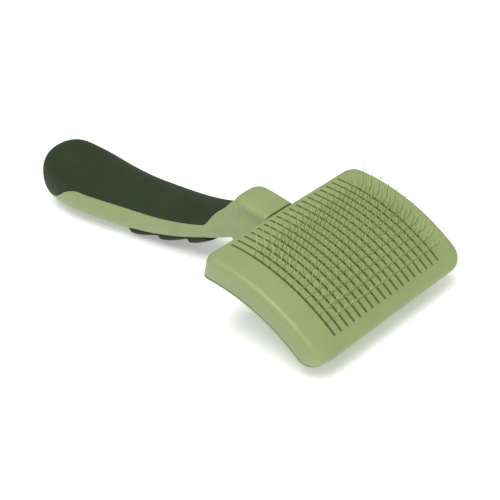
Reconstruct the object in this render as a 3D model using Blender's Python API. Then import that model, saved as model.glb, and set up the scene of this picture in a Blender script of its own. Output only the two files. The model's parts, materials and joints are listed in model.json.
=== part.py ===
"""Slicker brush with retracting pins, built as separate closed parts in millimetres."""
import bpy
import bmesh
from math import asin, cos, pi, radians, sin, sqrt
from mathutils import Matrix, Vector

# ---------------------------------------------------------------- driving dimensions, mm
MM = 0.001
GAP = 0.3                  # assembly gap between neighbouring parts

FACE_RADIUS = 80.0         # curved face, axis across the brush
REAR_ARC = 32.0            # arc length from the slots' middle to the rear edge
FRONT_ARC = 35.4           # arc length from the slots' middle to the front edge
HEAD_HALF_WIDTH = 45.0
HEAD_FRONT_CORNER = 8.2
HEAD_REAR_CORNER = 5.6
WALL_HEIGHT = 9.8
WALL = 2.0
REAR_WALL_LEAN = 8.0       # degrees
EDGE_ROUND = 2.2
FACE_STRIPS = 12           # flat strips that make the curved face

SLOT_COUNT = 18
SLOT_PITCH = 3.75
SLOT_WIDTH = 0.95
SLOT_HALF_ARC = 28.7
SLOT_ROOF_EXTRA = 1.0      # how far the slot cutters pass the face on both sides
INNER_FILLET = 0.8

COVER_WALL = 1.6
COVER_BACK_Z = -25.2
COVER_HALF_WIDTH = 33.4
COVER_REAR_X = -23.0
COVER_FRONT_X = 25.0
COVER_SOFTEN = 2.0
COVER_CORNER = 7.0
COVER_SIDE_STEPS = 7
COVER_SHOULDER = 0.86      # share of the way from rim to back where the softened edge starts

PINS_PER_COMB = 11
PIN_FIRST_ANGLE = -11.7    # degrees from the head's middle, at the face
PIN_LAST_ANGLE = 16.1
PIN_WIRE = 0.38
PIN_SHANK = 5.2            # straight length outside the face
PIN_HOOK = 7.2             # bent-back length
SHANK_LEAN = 14.0
HOOK_LEAN = -8.0
SPINE_TOP_RADIUS = 77.3
SPINE_HEIGHT = 0.8

CARRIER_TOP_RADIUS = 76.2
CARRIER_THICKNESS = 2.0
CARRIER_HALF_WIDTH = 32.7
CARRIER_REAR_ANGLE = -13.5
CARRIER_FRONT_ANGLE = 17.7
CARRIER_CORNER = 4.5
CARRIER_STRIPS = 7
PIN_TRAVEL = 13.2

POST_X = (-10.0, 16.0)
POST_Y = 26.25
POST_RADIUS = 1.1
POST_FOOT_RADIUS = 1.8
POST_FOOT = 1.0
POST_CHAMFER = 0.3
POST_TOP_ROOM = 0.5
POST_HOLE_BOTTOM = -12.0
SCREW_RADIUS = 0.7
SCREW_HEAD_RADIUS = 2.2
SCREW_HEAD = 0.7
SCREW_SUNK = 0.1           # screw head below the cover's back
SCREW_CHAMFER = 0.3
SPRING_BASE_RADIUS = 4.4   # cone, so that the turns nest when it is pressed flat
SPRING_TOP_RADIUS = 1.95
SPRING_WIRE = 0.25
SPRING_TURNS = 5
SPRING_TURN_STEPS = 12
SPRING_WIRE_SIDES = 4
SPRING_ROOM = 0.15
ROUND_STEPS = 12           # facets of screws, posts and their holes

PIVOT = (-33.0, -21.9)     # lever pivot in the middle plane: x, z
PIVOT_PIN_RADIUS = 1.2
LEVER_ARM = 40.0
LEVER_HALF_THICKNESS = 0.8
LEVER_ROOT_RADIUS = 1.9    # half heights of the lever plate at its joints
LEVER_TIP_RADIUS = 1.45
TONGUE_RADIUS = 1.3
TONGUE_PAD_HALF = 2.6
LEVER_HUB_RADIUS = 3.0
LEVER_HUB_HALF = 4.8
LEVER_OPENING_GAP = 1.0    # each side of the lever where it passes the cover
LEVER_OPENING_X = (-40.0, -16.0)
LEVER_OPENING_TOP = -8.0
NOTCH_GAP = 0.45           # each side of the lever in the carrier
NOTCH_X = (-25.0, -6.0)
NOTCH_BOTTOM = -15.0
LIFT_PIN_RADIUS = 0.8
LIFT_PIN_Z = -7.8          # at rest
RUNNING = 0.35             # clearance round moving pins
LUG_INNER = 1.2
LUG_OUTER = 3.2
LUG_WALL = 1.1
LUG_CHAMFER = 1.2
LUG_SINK = 0.9             # how far the lugs reach into the carrier
CROSS_PIN_HALF = 3.6
PIN_SEAT_GAP = 0.1
PIVOT_PIN_HALF = 7.5
PIVOT_SEAT_HALF = 7.7      # blind seats, closed from outside

NECK_HALF_WIDTH = 8.6
NECK_CAVITY_HALF = 5.4
NECK_TOP_Z = -15.2
NECK_SOFTEN = 2.0
NECK_SHOULDER_X = -30.0    # edges behind this line are softened
NECK_PROFILE = ((-30.6, NECK_TOP_Z), (-30.2, -16.2), (-23.6, -25.4), (-31.0, -28.2), (-43.0, -33.2),
                (-50.0, -30.0), (-53.0, -21.0), (-50.6, NECK_TOP_Z))
CAP_FRONT_X = -31.45
CAP_REAR_X = -50.4
CAP_CROWN_Z = -7.2
CAP_SLOPE = 0.19
CAP_CORNER = 5.0
CAP_FRONT_CORNER = 0.6
CAP_EDGE = ((0.0, 2.6), (0.7, 1.3), (1.9, 0.4), (3.6, 0.0))   # inset and drop of the soft edge
BUTTON_SPOT = (-38.7, -31.55)
BUTTON_SLOPE = 31.0        # degrees, slope of the button's push line from the head's normal
BUTTON_HALF_LENGTH = 5.3
BUTTON_HALF_WIDTH = 4.3
BUTTON_CORNER = 2.0
BUTTON_PROUD = 3.6
BUTTON_CROWN_EDGE = ((1.2, 0.0), (0.3, 0.5), (0.0, 1.4))   # inset and drop of the crown's edge
BUTTON_FLANGE = 0.9        # thickness of the stop flange
BUTTON_FLANGE_OUT = (0.9, 0.8)
BUTTON_FLANGE_Z = 2.1
BUTTON_NOSE = 5.8
BUTTON_NOSE_ROOT = (2.2, 3.0, 0.8)
BUTTON_NOSE_TIP = (1.6, 2.6, 0.8)
TONGUE_KNEE = (-37.5, -21.6)
TONGUE_TIP = (-42.5, -25.2)
CAVITY_FLOOR_Z = 1.9       # in the button's axes
CAVITY_FLOOR_HALF = 6.7
CAVITY_REAR_TOP = ((-47.0, -21.5), (-46.6, -5.0))
CAVITY_FRONT = ((-15.0, -5.0), (-15.0, -24.2), (-31.5, -26.4))

HANDLE_START = (-52.5, -31.5)
HANDLE_BEND_RADIUS = 256.0
HANDLE_START_SLOPE = 40.5
HANDLE_LENGTH = 126.5
HANDLE_FRONT = -7.0
HANDLE_HALF_WIDTH = 8.5    # at the neck; each step after it is (gain, from, to) along the handle
HANDLE_WIDTH_STEPS = ((4.9, -8.0, 62.0), (4.3, 48.0, 96.0), (-3.2, 96.0, HANDLE_LENGTH))
HANDLE_HALF_DEPTH = 7.1
HANDLE_DEPTH_STEPS = ((4.2, -5.0, 60.0), (3.4, 80.0, HANDLE_LENGTH - 8.0))
END_ROUND = 16.0
END_POWER = 2.4
SECTION_POWER = 2.3
BELLY = 0.6                # extra depth of the underside behind the neck
BELLY_SPAN = (-8.0, 6.0, 18.0, 48.0)
GRIP_THICKNESS = 2.2
GRIP_THIN_SHARE = 0.4      # most of the handle's half depth the pad may take near its end
GRIP_FRONT = -4.0
GRIP_EDGE_ANGLE = 21.0
GRIP_FRONT_EDGE_ANGLE = 3.0
GRIP_END_ANGLE = -24.0
GRIP_NOSE_ANGLE = 74.0
GRIP_NOSE_LENGTH = 14.0
GRIP_SIDE_SPAN = (0.0, 80.0)
GRIP_WRAP_SPAN = (88.0, 114.0)
GRIP_EDGE_LIFT = 0.35
GRIP_ROOM_OUT = 4.0
RIDGE_COUNT = 3
RIDGE_PITCH = 18.4
RIDGE_START = 7.4
RIDGE_LOW = 0.4
RIDGE_HIGH = 1.9
RIDGE_HALF_SWEEP = 42.0
RIDGE_SIDE_SLOPE = 4.0     # degrees the sides lean in
RIDGE_PEAK = 0.85          # share of a tooth where it is highest
RIDGE_VALLEY = 0.03        # share of a tooth lost to the steep drop at each end
RIDGE_FIRST = 0.2          # share of the first tooth left out at the neck

REST_TILT = 23.475         # degrees the head leans forward when the brush lies on its back

# ---------------------------------------------------------------- derived
COVER_FLOOR_Z = COVER_BACK_Z + COVER_WALL
CARRIER_BOTTOM_RADIUS = CARRIER_TOP_RADIUS - CARRIER_THICKNESS
LEVER_REST = asin((LIFT_PIN_Z - PIVOT[1]) / LEVER_ARM)
LEVER_LOW = asin((LIFT_PIN_Z - PIN_TRAVEL - PIVOT[1]) / LEVER_ARM)
LIFT_PIN_X = PIVOT[0] + LEVER_ARM * cos(LEVER_REST)
LIFT_PIN_X_LOW = PIVOT[0] + LEVER_ARM * cos(LEVER_LOW)

COLOURS = {
    "green_plastic": ((0.36, 0.46, 0.20), 0.42, 0.0),
    "grey_plastic": ((0.30, 0.32, 0.30), 0.50, 0.0),
    "dark_rubber": ((0.045, 0.065, 0.035), 0.75, 0.0),
    "dark_plastic": ((0.05, 0.07, 0.04), 0.45, 0.0),
    "pin_steel": ((0.62, 0.62, 0.60), 0.25, 1.0),
    "spring_steel": ((0.50, 0.51, 0.52), 0.30, 1.0),
    "zinc_steel": ((0.56, 0.56, 0.53), 0.35, 1.0),
}


# ---------------------------------------------------------------- scene helpers
def clear_scene():
    for old in list(bpy.data.objects):
        bpy.data.objects.remove(old, do_unlink=True)


def material(slot, node):
    colour, rough, metal = COLOURS[slot]
    mat = bpy.data.materials.new(node + "_" + slot)
    mat.use_nodes = True
    shader = mat.node_tree.nodes["Principled BSDF"]
    shader.inputs["Base Color"].default_value = (*colour, 1.0)
    shader.inputs["Roughness"].default_value = rough
    shader.inputs["Metallic"].default_value = metal
    return mat


def finish(bm, name, slot, origin=(0.0, 0.0, 0.0), smooth=False):
    """Turn a millimetre bmesh into a named part whose origin sits at the given point."""
    bmesh.ops.remove_doubles(bm, verts=bm.verts, dist=1e-4)
    bmesh.ops.recalc_face_normals(bm, faces=bm.faces)
    bmesh.ops.triangulate(bm, faces=bm.faces)
    start = Vector(origin)
    for vert in bm.verts:
        vert.co = (vert.co - start) * MM
    mesh = bpy.data.meshes.new(name)
    bm.to_mesh(mesh)
    bm.free()
    for polygon in mesh.polygons:
        polygon.use_smooth = smooth
    part = bpy.data.objects.new(name, mesh)
    part.data.materials.append(material(slot, name))
    part.parent = HEAD
    part.location = start * MM
    bpy.context.scene.collection.objects.link(part)
    return part


def boolean(body, tool, operation):
    """Exact boolean of two bmeshes; returns the result and frees both inputs."""
    pair = []
    for bm, label in ((body, "body"), (tool, "tool")):
        bmesh.ops.recalc_face_normals(bm, faces=bm.faces)
        mesh = bpy.data.meshes.new(label)
        bm.to_mesh(mesh)
        bm.free()
        item = bpy.data.objects.new(label, mesh)
        bpy.context.scene.collection.objects.link(item)
        pair.append(item)
    modifier = pair[0].modifiers.new("cut", "BOOLEAN")
    modifier.operation = operation
    modifier.solver = "EXACT"
    modifier.object = pair[1]
    graph = bpy.context.evaluated_depsgraph_get()
    result = bmesh.new()
    result.from_mesh(pair[0].evaluated_get(graph).to_mesh())
    for item in pair:
        bpy.data.objects.remove(item, do_unlink=True)
    bmesh.ops.remove_doubles(result, verts=result.verts, dist=1e-4)
    return result


def join(target, extra):
    """Move the geometry of one bmesh into another."""
    mesh = bpy.data.meshes.new("join")
    extra.to_mesh(mesh)
    extra.free()
    target.from_mesh(mesh)
    bpy.data.meshes.remove(mesh)


# ---------------------------------------------------------------- shape helpers
def bent(u, v, w):
    """Flat head coordinates (arc, across, depth) wrapped on the curved face.

    Depth runs toward the face's centre, except near the rear where it stays steeper.
    """
    angle = u / FACE_RADIUS
    inward = max(angle, -radians(REAR_WALL_LEAN))
    x = FACE_RADIUS * sin(angle) - w * sin(inward)
    z = FACE_RADIUS * (cos(angle) - 1) - w * cos(inward)
    return Vector((x, v, z))


def rounded_rectangle(x0, x1, y0, y1, radius, rear_radius=None, segments=5, side_steps=1):
    """Closed outline; the two corners at x0 may have their own radius, long sides may be split."""
    rear = radius if rear_radius is None else rear_radius
    corners = ((x1 - radius, y1 - radius, radius, 0), (x0 + rear, y1 - rear, rear, 90),
               (x0 + rear, y0 + rear, rear, 180), (x1 - radius, y0 + radius, radius, 270))
    arcs = []
    for cx, cy, size, start in corners:
        angles = [radians(start + 90 * step / segments) for step in range(segments + 1)]
        arcs.append([(cx + size * cos(angle), cy + size * sin(angle)) for angle in angles])
    points = []
    for index, arc in enumerate(arcs):
        points += arc
        if index % 2 == 0:
            (ax, ay), (bx, by) = arc[-1], arcs[index + 1][0]
            for step in range(1, side_steps):
                t = step / side_steps
                points.append((ax + (bx - ax) * t, ay + (by - ay) * t))
    return points


def loft(rings):
    """Closed body through equal-length rings, with flat caps on the first and last."""
    bm = bmesh.new()
    loops = [[bm.verts.new(point) for point in ring] for ring in rings]
    for first, second in zip(loops, loops[1:]):
        count = len(first)
        for index in range(count):
            after = (index + 1) % count
            bm.faces.new((first[index], first[after], second[after], second[index]))
    bm.faces.new(loops[0])
    bm.faces.new(loops[-1])
    return bm


def side_plate(outline, y0, y1):
    """Prism of an (x, z) outline between two positions across the brush."""
    return loft([[Vector((x, y, z)) for x, z in outline] for y in (y0, y1)])


def block(x0, x1, y0, y1, z0, z1):
    return side_plate(((x0, z0), (x1, z0), (x1, z1), (x0, z1)), y0, y1)


def circle(cx, cz, radius, segments=20):
    turn = 2 * pi / segments
    return [(cx + radius * cos(i * turn), cz + radius * sin(i * turn)) for i in range(segments)]


def link_outline(start, start_radius, end, end_radius, segments=8):
    """Outline of two round ends joined by straight flanks."""
    run = Vector((end[0] - start[0], end[1] - start[1]))
    heading = run.angle_signed(Vector((1, 0)))
    points = []
    for centre, radius, side in ((end, end_radius, -pi / 2), (start, start_radius, pi / 2)):
        for step in range(segments + 1):
            angle = heading + side + pi * step / segments
            points.append((centre[0] + radius * cos(angle), centre[1] + radius * sin(angle)))
    return points


def turned(profile, centre, segments=ROUND_STEPS):
    """Body of revolution about a vertical line; profile is (radius, z) from axis to axis."""
    bm = bmesh.new()
    cx, cy = centre
    rings = []
    for radius, z in profile:
        if radius == 0:
            rings.append([bm.verts.new((cx, cy, z))])
            continue
        turn = 2 * pi / segments
        rings.append([bm.verts.new((cx + radius * cos(i * turn), cy + radius * sin(i * turn), z))
                      for i in range(segments)])
    for first, second in zip(rings, rings[1:]):
        for i in range(segments):
            j = (i + 1) % segments
            if len(first) == 1:
                bm.faces.new((first[0], second[i], second[j]))
            elif len(second) == 1:
                bm.faces.new((first[j], first[i], second[0]))
            else:
                bm.faces.new((first[i], second[i], second[j], first[j]))
    return bm


def wrap_on_face(bm, arcs):
    """Split a flat body at the given arc positions, then bend it to the face."""
    for arc in arcs:
        geometry = bm.verts[:] + bm.edges[:] + bm.faces[:]
        bmesh.ops.bisect_plane(bm, geom=geometry, dist=1e-5, plane_co=(arc, 0, 0),
                               plane_no=(1, 0, 0))
    for vert in bm.verts:
        vert.co = bent(vert.co.x, vert.co.y, vert.co.z)


def slot_rows():
    return [(index - (SLOT_COUNT - 1) / 2) * SLOT_PITCH for index in range(SLOT_COUNT)]


def arc_positions(start, end, strips):
    return [start + (end - start) * step / strips for step in range(strips + 1)]


# ---------------------------------------------------------------- head
def head_outline(inset, side_steps=1):
    return rounded_rectangle(-REAR_ARC + inset, FRONT_ARC - inset, -HEAD_HALF_WIDTH + inset,
                             HEAD_HALF_WIDTH - inset, HEAD_FRONT_CORNER - inset,
                             HEAD_REAR_CORNER - inset, side_steps=side_steps)


def head_frame():
    """Slotted curved face with its skirt, one moulding open at the back."""
    inner = WALL + INNER_FILLET
    steps = ((inner, WALL), (WALL, inner), (WALL, WALL_HEIGHT), (0, WALL_HEIGHT),
             (0, EDGE_ROUND), (0.3 * EDGE_ROUND, 0.3 * EDGE_ROUND), (EDGE_ROUND, 0))
    bm = loft([[Vector((u, v, depth)) for u, v in head_outline(inset)] for inset, depth in steps])
    slots = bmesh.new()
    for row in slot_rows():
        cutter = block(-SLOT_HALF_ARC, SLOT_HALF_ARC, row - SLOT_WIDTH / 2, row + SLOT_WIDTH / 2,
                       -SLOT_ROOF_EXTRA, WALL + SLOT_ROOF_EXTRA)
        join(slots, cutter)
    bm = boolean(bm, slots, "DIFFERENCE")
    cuts = arc_positions(-SLOT_HALF_ARC, SLOT_HALF_ARC, FACE_STRIPS)
    wrap_on_face(bm, cuts)
    return finish(bm, "head_frame", "green_plastic")


def cover_rim(inset):
    return [bent(u, v, WALL_HEIGHT + GAP) for u, v in head_outline(inset, COVER_SIDE_STEPS)]


def cover_back(inset, z):
    outline = rounded_rectangle(COVER_REAR_X + inset, COVER_FRONT_X - inset,
                                -COVER_HALF_WIDTH + inset, COVER_HALF_WIDTH - inset,
                                COVER_CORNER - inset, side_steps=COVER_SIDE_STEPS)
    return [Vector((x, y, z)) for x, y in outline]


def between(first, second, amount):
    return [a.lerp(b, amount) for a, b in zip(first, second)]


def rear_cover():
    """Dished back of the head with a flat floor, four screw holes and the lever opening."""
    outer_rim = cover_rim(0.0)
    inner_rim = cover_rim(COVER_WALL)
    outer_back = cover_back(0.0, COVER_BACK_Z)
    inner_back = cover_back(COVER_WALL, COVER_FLOOR_Z)
    rings = [inner_back, inner_rim, outer_rim, between(outer_rim, outer_back, COVER_SHOULDER),
             cover_back(COVER_SOFTEN, COVER_BACK_Z)]
    bm = loft(rings)
    holes = bmesh.new()
    for x, y in post_spots():
        counterbore = COVER_BACK_Z + SCREW_SUNK + SCREW_HEAD + 0.1
        wide, narrow = SCREW_HEAD_RADIUS + GAP, SCREW_RADIUS + GAP
        profile = ((0, COVER_BACK_Z - 1), (wide, COVER_BACK_Z - 1), (wide, counterbore),
                   (narrow, counterbore), (narrow, COVER_FLOOR_Z + 1), (0, COVER_FLOOR_Z + 1))
        join(holes, turned(profile, (x, y)))
    bm = boolean(bm, holes, "DIFFERENCE")
    half = LEVER_HALF_THICKNESS + LEVER_OPENING_GAP
    opening = block(*LEVER_OPENING_X, -half, half, COVER_FLOOR_Z + 0.05, LEVER_OPENING_TOP)
    bm = boolean(bm, opening, "DIFFERENCE")
    return finish(bm, "rear_cover", "green_plastic")


def post_spots():
    return [(x, y) for x in POST_X for y in (-POST_Y, POST_Y)]


def inside_depth(radius, x):
    """Height of a surface concentric with the face at a position along the head."""
    return sqrt(radius * radius - x * x) - FACE_RADIUS


def guide_post(number, x, y):
    foot = COVER_FLOOR_Z + 0.1
    shoulder = foot + POST_FOOT
    top = inside_depth(FACE_RADIUS - WALL, x) - POST_TOP_ROOM
    bore = SCREW_RADIUS + 0.25
    profile = ((0, shoulder - 0.2), (bore, shoulder - 0.2), (bore, foot),
               (POST_FOOT_RADIUS, foot), (POST_FOOT_RADIUS, shoulder),
               (POST_RADIUS, shoulder), (POST_RADIUS, top - POST_CHAMFER),
               (POST_RADIUS - POST_CHAMFER, top), (0, top))
    return finish(turned(profile, (x, y)), "guide_post_%d" % number, "zinc_steel")


def cover_screw(number, x, y):
    outside = COVER_BACK_Z + SCREW_SUNK
    under_head = COVER_BACK_Z + SCREW_HEAD
    tip = COVER_FLOOR_Z + POST_FOOT - 0.4
    profile = ((0, outside), (SCREW_HEAD_RADIUS - SCREW_CHAMFER, outside),
               (SCREW_HEAD_RADIUS, outside + SCREW_CHAMFER), (SCREW_HEAD_RADIUS, under_head),
               (SCREW_RADIUS, under_head), (SCREW_RADIUS, tip), (0, tip))
    return finish(turned(profile, (x, y)), "cover_screw_%d" % number, "zinc_steel")


def return_spring(number, x, y):
    """Conical compression spring as one closed swept coil."""
    low = COVER_FLOOR_Z + SPRING_WIRE + SPRING_ROOM
    high = inside_depth(CARRIER_BOTTOM_RADIUS, abs(x) + SPRING_TOP_RADIUS) - SPRING_WIRE - SPRING_ROOM
    steps = SPRING_TURN_STEPS * SPRING_TURNS
    rings = []
    for step in range(steps + 1):
        share = step / steps
        angle = 2 * pi * step / SPRING_TURN_STEPS
        radius = SPRING_BASE_RADIUS + (SPRING_TOP_RADIUS - SPRING_BASE_RADIUS) * share
        outward = Vector((cos(angle), sin(angle), 0))
        centre = Vector((x, y, low + (high - low) * share)) + outward * radius
        ring = []
        for side in range(SPRING_WIRE_SIDES):
            turn = 2 * pi * side / SPRING_WIRE_SIDES
            offset = outward * cos(turn) + Vector((0, 0, 1)) * sin(turn)
            ring.append(centre + SPRING_WIRE * offset)
        rings.append(ring)
    return finish(loft(rings), "return_spring_%d" % number, "spring_steel", (x, y, low), True)


# ---------------------------------------------------------------- pins and their carrier
def curved_point(radius, angle, y):
    return Vector((radius * sin(angle), y, radius * cos(angle) - FACE_RADIUS))


def pin_angles():
    spacing = (PIN_LAST_ANGLE - PIN_FIRST_ANGLE) / (PINS_PER_COMB - 1)
    return [radians(PIN_FIRST_ANGLE + spacing * index) for index in range(PINS_PER_COMB)]


def direction(angle):
    return Vector((sin(angle), 0, cos(angle)))


def wire_ring(centre, heading, half_width):
    """Square wire section across a heading in the middle plane."""
    across = Vector((heading.z, 0, -heading.x)) * (PIN_WIRE / 2)
    side = Vector((0, half_width, 0))
    return [centre - across - side, centre + across - side, centre + across + side,
            centre - across + side]


def pin_comb(number, row):
    """One row of bent wire pins standing on a thin curved strip."""
    bm = bmesh.new()
    bottom = SPINE_TOP_RADIUS - SPINE_HEIGHT
    half = PIN_WIRE / 2
    wire_angle = PIN_WIRE / 2 / SPINE_TOP_RADIUS
    stations = [radians(PIN_FIRST_ANGLE) - 4 * wire_angle]
    starts = []
    for angle in pin_angles():
        face = curved_point(FACE_RADIUS, angle, row)
        lean = direction(angle + radians(SHANK_LEAN))
        root = face - lean * (FACE_RADIUS - SPINE_TOP_RADIUS) / cos(radians(SHANK_LEAN))
        middle = asin(root.x / SPINE_TOP_RADIUS)
        stations += [middle - wire_angle, middle + wire_angle]
        starts.append((angle, face, lean))
    stations.append(radians(PIN_LAST_ANGLE) + 4 * wire_angle)
    loops = []
    for angle in stations:
        corners = [curved_point(SPINE_TOP_RADIUS, angle, row - half),
                   curved_point(SPINE_TOP_RADIUS, angle, row + half),
                   curved_point(bottom, angle, row + half),
                   curved_point(bottom, angle, row - half)]
        loops.append([bm.verts.new(corner) for corner in corners])
    bm.faces.new(loops[0])
    bm.faces.new(loops[-1])
    for index, (first, second) in enumerate(zip(loops, loops[1:])):
        for side in range(4):
            after = (side + 1) % 4
            if side == 0 and index % 2 == 1:
                grow_pin(bm, first, second, starts[index // 2])
            else:
                bm.faces.new((first[side], first[after], second[after], second[side]))
    return finish(bm, "pin_comb_%02d" % number, "pin_steel")


def grow_pin(bm, first, second, start):
    """Replace one top face of the strip by a bent wire with a closed end."""
    angle, face, lean = start
    hook = direction(angle + radians(HOOK_LEAN))
    bend = face + lean * PIN_SHANK
    tip = bend + hook * PIN_HOOK
    half = PIN_WIRE / 2
    loop = [first[0], second[0], second[1], first[1]]
    for centre, heading in ((bend, (lean + hook).normalized()), (tip, hook)):
        ring = [bm.verts.new(point) for point in wire_ring(centre, heading, half)]
        for side in range(4):
            after = (side + 1) % 4
            bm.faces.new((loop[side], loop[after], ring[after], ring[side]))
        loop = ring
    bm.faces.new(loop)


def pin_carrier():
    """Curved plate that holds all pin strips, with two slotted lugs for the lever."""
    rear = radians(CARRIER_REAR_ANGLE) * FACE_RADIUS
    front = radians(CARRIER_FRONT_ANGLE) * FACE_RADIUS
    top = FACE_RADIUS - CARRIER_TOP_RADIUS
    outline = rounded_rectangle(rear, front, -CARRIER_HALF_WIDTH, CARRIER_HALF_WIDTH,
                                CARRIER_CORNER, segments=3)
    depths = (top, top + CARRIER_THICKNESS)
    bm = loft([[Vector((u, v, depth)) for u, v in outline] for depth in depths])
    wrap_on_face(bm, arc_positions(rear + CARRIER_CORNER, front - CARRIER_CORNER, CARRIER_STRIPS))
    for side in (-1, 1):
        y0, y1 = sorted((side * LUG_INNER, side * LUG_OUTER))
        bm = boolean(bm, side_plate(lug_outline(), y0, y1), "UNION")
    cutters = bmesh.new()
    for x, y in post_spots():
        bore = POST_RADIUS + RUNNING
        hole = ((0, POST_HOLE_BOTTOM), (bore, POST_HOLE_BOTTOM), (bore, 0), (0, 0))
        join(cutters, turned(hole, (x, y)))
    bm = boolean(bm, cutters, "DIFFERENCE")
    reach = LIFT_PIN_RADIUS + RUNNING
    slot = link_outline((LIFT_PIN_X, LIFT_PIN_Z), reach, (LIFT_PIN_X_LOW, LIFT_PIN_Z), reach, 6)
    bm = boolean(bm, side_plate(slot, -LUG_OUTER - 1, LUG_OUTER + 1), "DIFFERENCE")
    half = LEVER_HALF_THICKNESS + NOTCH_GAP
    notch = block(*NOTCH_X, -half, half, NOTCH_BOTTOM, 0)
    bm = boolean(bm, notch, "DIFFERENCE")
    return finish(bm, "pin_carrier", "grey_plastic")


def lug_outline():
    reach = LIFT_PIN_RADIUS + RUNNING + LUG_WALL
    low = LIFT_PIN_Z - reach
    x0 = LIFT_PIN_X - reach
    x1 = LIFT_PIN_X_LOW + reach
    high = inside_depth(CARRIER_BOTTOM_RADIUS, x1) + LUG_SINK
    return ((x0, high), (x0, low + LUG_CHAMFER), (x0 + LUG_CHAMFER, low),
            (x1 - LUG_CHAMFER, low), (x1, low + LUG_CHAMFER), (x1, high))


# ---------------------------------------------------------------- lever, button and neck
def lever_limb(start, start_radius, end, end_radius):
    outline = link_outline(start, start_radius, end, end_radius)
    return side_plate(outline, -LEVER_HALF_THICKNESS, LEVER_HALF_THICKNESS)


def lifter_lever():
    """Rocker: long arm under the pin carrier, short cranked tongue over the button."""
    tip = (LIFT_PIN_X, LIFT_PIN_Z)
    bm = lever_limb(PIVOT, LEVER_ROOT_RADIUS, tip, LEVER_TIP_RADIUS)
    for extra in (lever_limb(PIVOT, LEVER_ROOT_RADIUS, TONGUE_KNEE, TONGUE_RADIUS),
                  lever_limb(TONGUE_KNEE, TONGUE_RADIUS, TONGUE_TIP, TONGUE_RADIUS),
                  side_plate(circle(*PIVOT, LEVER_HUB_RADIUS), -LEVER_HUB_HALF, LEVER_HUB_HALF),
                  side_plate(circle(*TONGUE_TIP, TONGUE_RADIUS, 12), -TONGUE_PAD_HALF, TONGUE_PAD_HALF)):
        bm = boolean(bm, extra, "UNION")
    through = LEVER_HUB_HALF + 1
    for spot, radius in ((PIVOT, PIVOT_PIN_RADIUS + GAP), (tip, LIFT_PIN_RADIUS + PIN_SEAT_GAP)):
        bm = boolean(bm, side_plate(circle(*spot, radius), -through, through), "DIFFERENCE")
    return finish(bm, "lifter_lever", "zinc_steel", (PIVOT[0], 0, PIVOT[1]))


def cross_pin(name, spot, radius, half, origin):
    bm = side_plate(circle(*spot, radius, 16), -half, half)
    return finish(bm, name, "pin_steel", origin)


def button_axis():
    return direction(-radians(BUTTON_SLOPE))


def button_frame():
    """Matrix from button coordinates (along, across, inward) to the head."""
    inward = button_axis()
    along = Vector((inward.z, 0, -inward.x))
    matrix = Matrix((along, Vector((0, 1, 0)), inward)).transposed().to_4x4()
    matrix.translation = Vector((BUTTON_SPOT[0], 0, BUTTON_SPOT[1]))
    return matrix


def button_ring(half_length, half_width, corner, height):
    outline = rounded_rectangle(-half_length, half_length, -half_width, half_width, corner, segments=3)
    return [button_frame() @ Vector((x, y, height)) for x, y in outline]


def thumb_button():
    """Push button with a stop flange inside the neck and a nose under the lever tongue."""
    length, width, corner = BUTTON_HALF_LENGTH, BUTTON_HALF_WIDTH, BUTTON_CORNER
    long_flange, wide_flange = length + BUTTON_FLANGE_OUT[0], width + BUTTON_FLANGE_OUT[1]
    crown, floor, top = -BUTTON_PROUD, BUTTON_FLANGE_Z, BUTTON_FLANGE_Z + BUTTON_FLANGE
    steps = [(length - inset, width - inset, corner, crown + drop) for inset, drop in BUTTON_CROWN_EDGE]
    steps += [(length, width, corner, floor), (long_flange, wide_flange, corner, floor),
              (long_flange, wide_flange, corner, top), (*BUTTON_NOSE_ROOT, top),
              (*BUTTON_NOSE_TIP, BUTTON_NOSE)]
    rings = [button_ring(*step) for step in steps]
    centre = (BUTTON_SPOT[0], 0, BUTTON_SPOT[1])
    return finish(loft(rings), "thumb_button", "dark_plastic", centre)


def cap_ring(inset, level):
    """Outline of the deck; level turns the crown height at each point into the ring's height."""
    outline = rounded_rectangle(CAP_REAR_X + inset, CAP_FRONT_X, -NECK_HALF_WIDTH + inset,
                                NECK_HALF_WIDTH - inset, CAP_FRONT_CORNER, CAP_CORNER - 0.6 * inset)
    return [Vector((x, y, level(CAP_CROWN_Z + CAP_SLOPE * (x - CAP_FRONT_X)))) for x, y in outline]


def neck_cap():
    """Raised sloping deck with soft edges that closes the top of the neck."""
    rings = [cap_ring(0.0, lambda crown: NECK_TOP_Z + GAP)]
    for inset, fall in CAP_EDGE:
        rings.append(cap_ring(inset, lambda crown, fall=fall: crown - fall))
    return finish(loft(rings), "neck_cap", "green_plastic")


# ---------------------------------------------------------------- handle
def handle_axis(s):
    """Point, heading and upward normal of the handle's bent centre line."""
    start_slope = radians(HANDLE_START_SLOPE)
    slope = start_slope - s / HANDLE_BEND_RADIUS
    x = HANDLE_START[0] - HANDLE_BEND_RADIUS * (sin(start_slope) - sin(slope))
    z = HANDLE_START[1] - HANDLE_BEND_RADIUS * (cos(slope) - cos(start_slope))
    return Vector((x, 0, z)), Vector((-sin(slope), 0, cos(slope)))


def ease(value, start, end):
    t = min(max((value - start) / (end - start), 0.0), 1.0)
    return t * t * (3 - 2 * t)


def handle_half_width(s):
    return HANDLE_HALF_WIDTH + sum(gain * ease(s, *span) for gain, *span in HANDLE_WIDTH_STEPS)


def handle_half_depth(s):
    return HANDLE_HALF_DEPTH + sum(gain * ease(s, *span) for gain, *span in HANDLE_DEPTH_STEPS)


def handle_belly(s):
    rise_from, rise_to, fall_from, fall_to = BELLY_SPAN
    return BELLY * ease(s, rise_from, rise_to) * (1 - ease(s, fall_from, fall_to))


def end_scale(s):
    t = max(s - (HANDLE_LENGTH - END_ROUND), 0.0) / END_ROUND
    return sqrt(max(1 - t ** END_POWER, 0.0))


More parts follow.
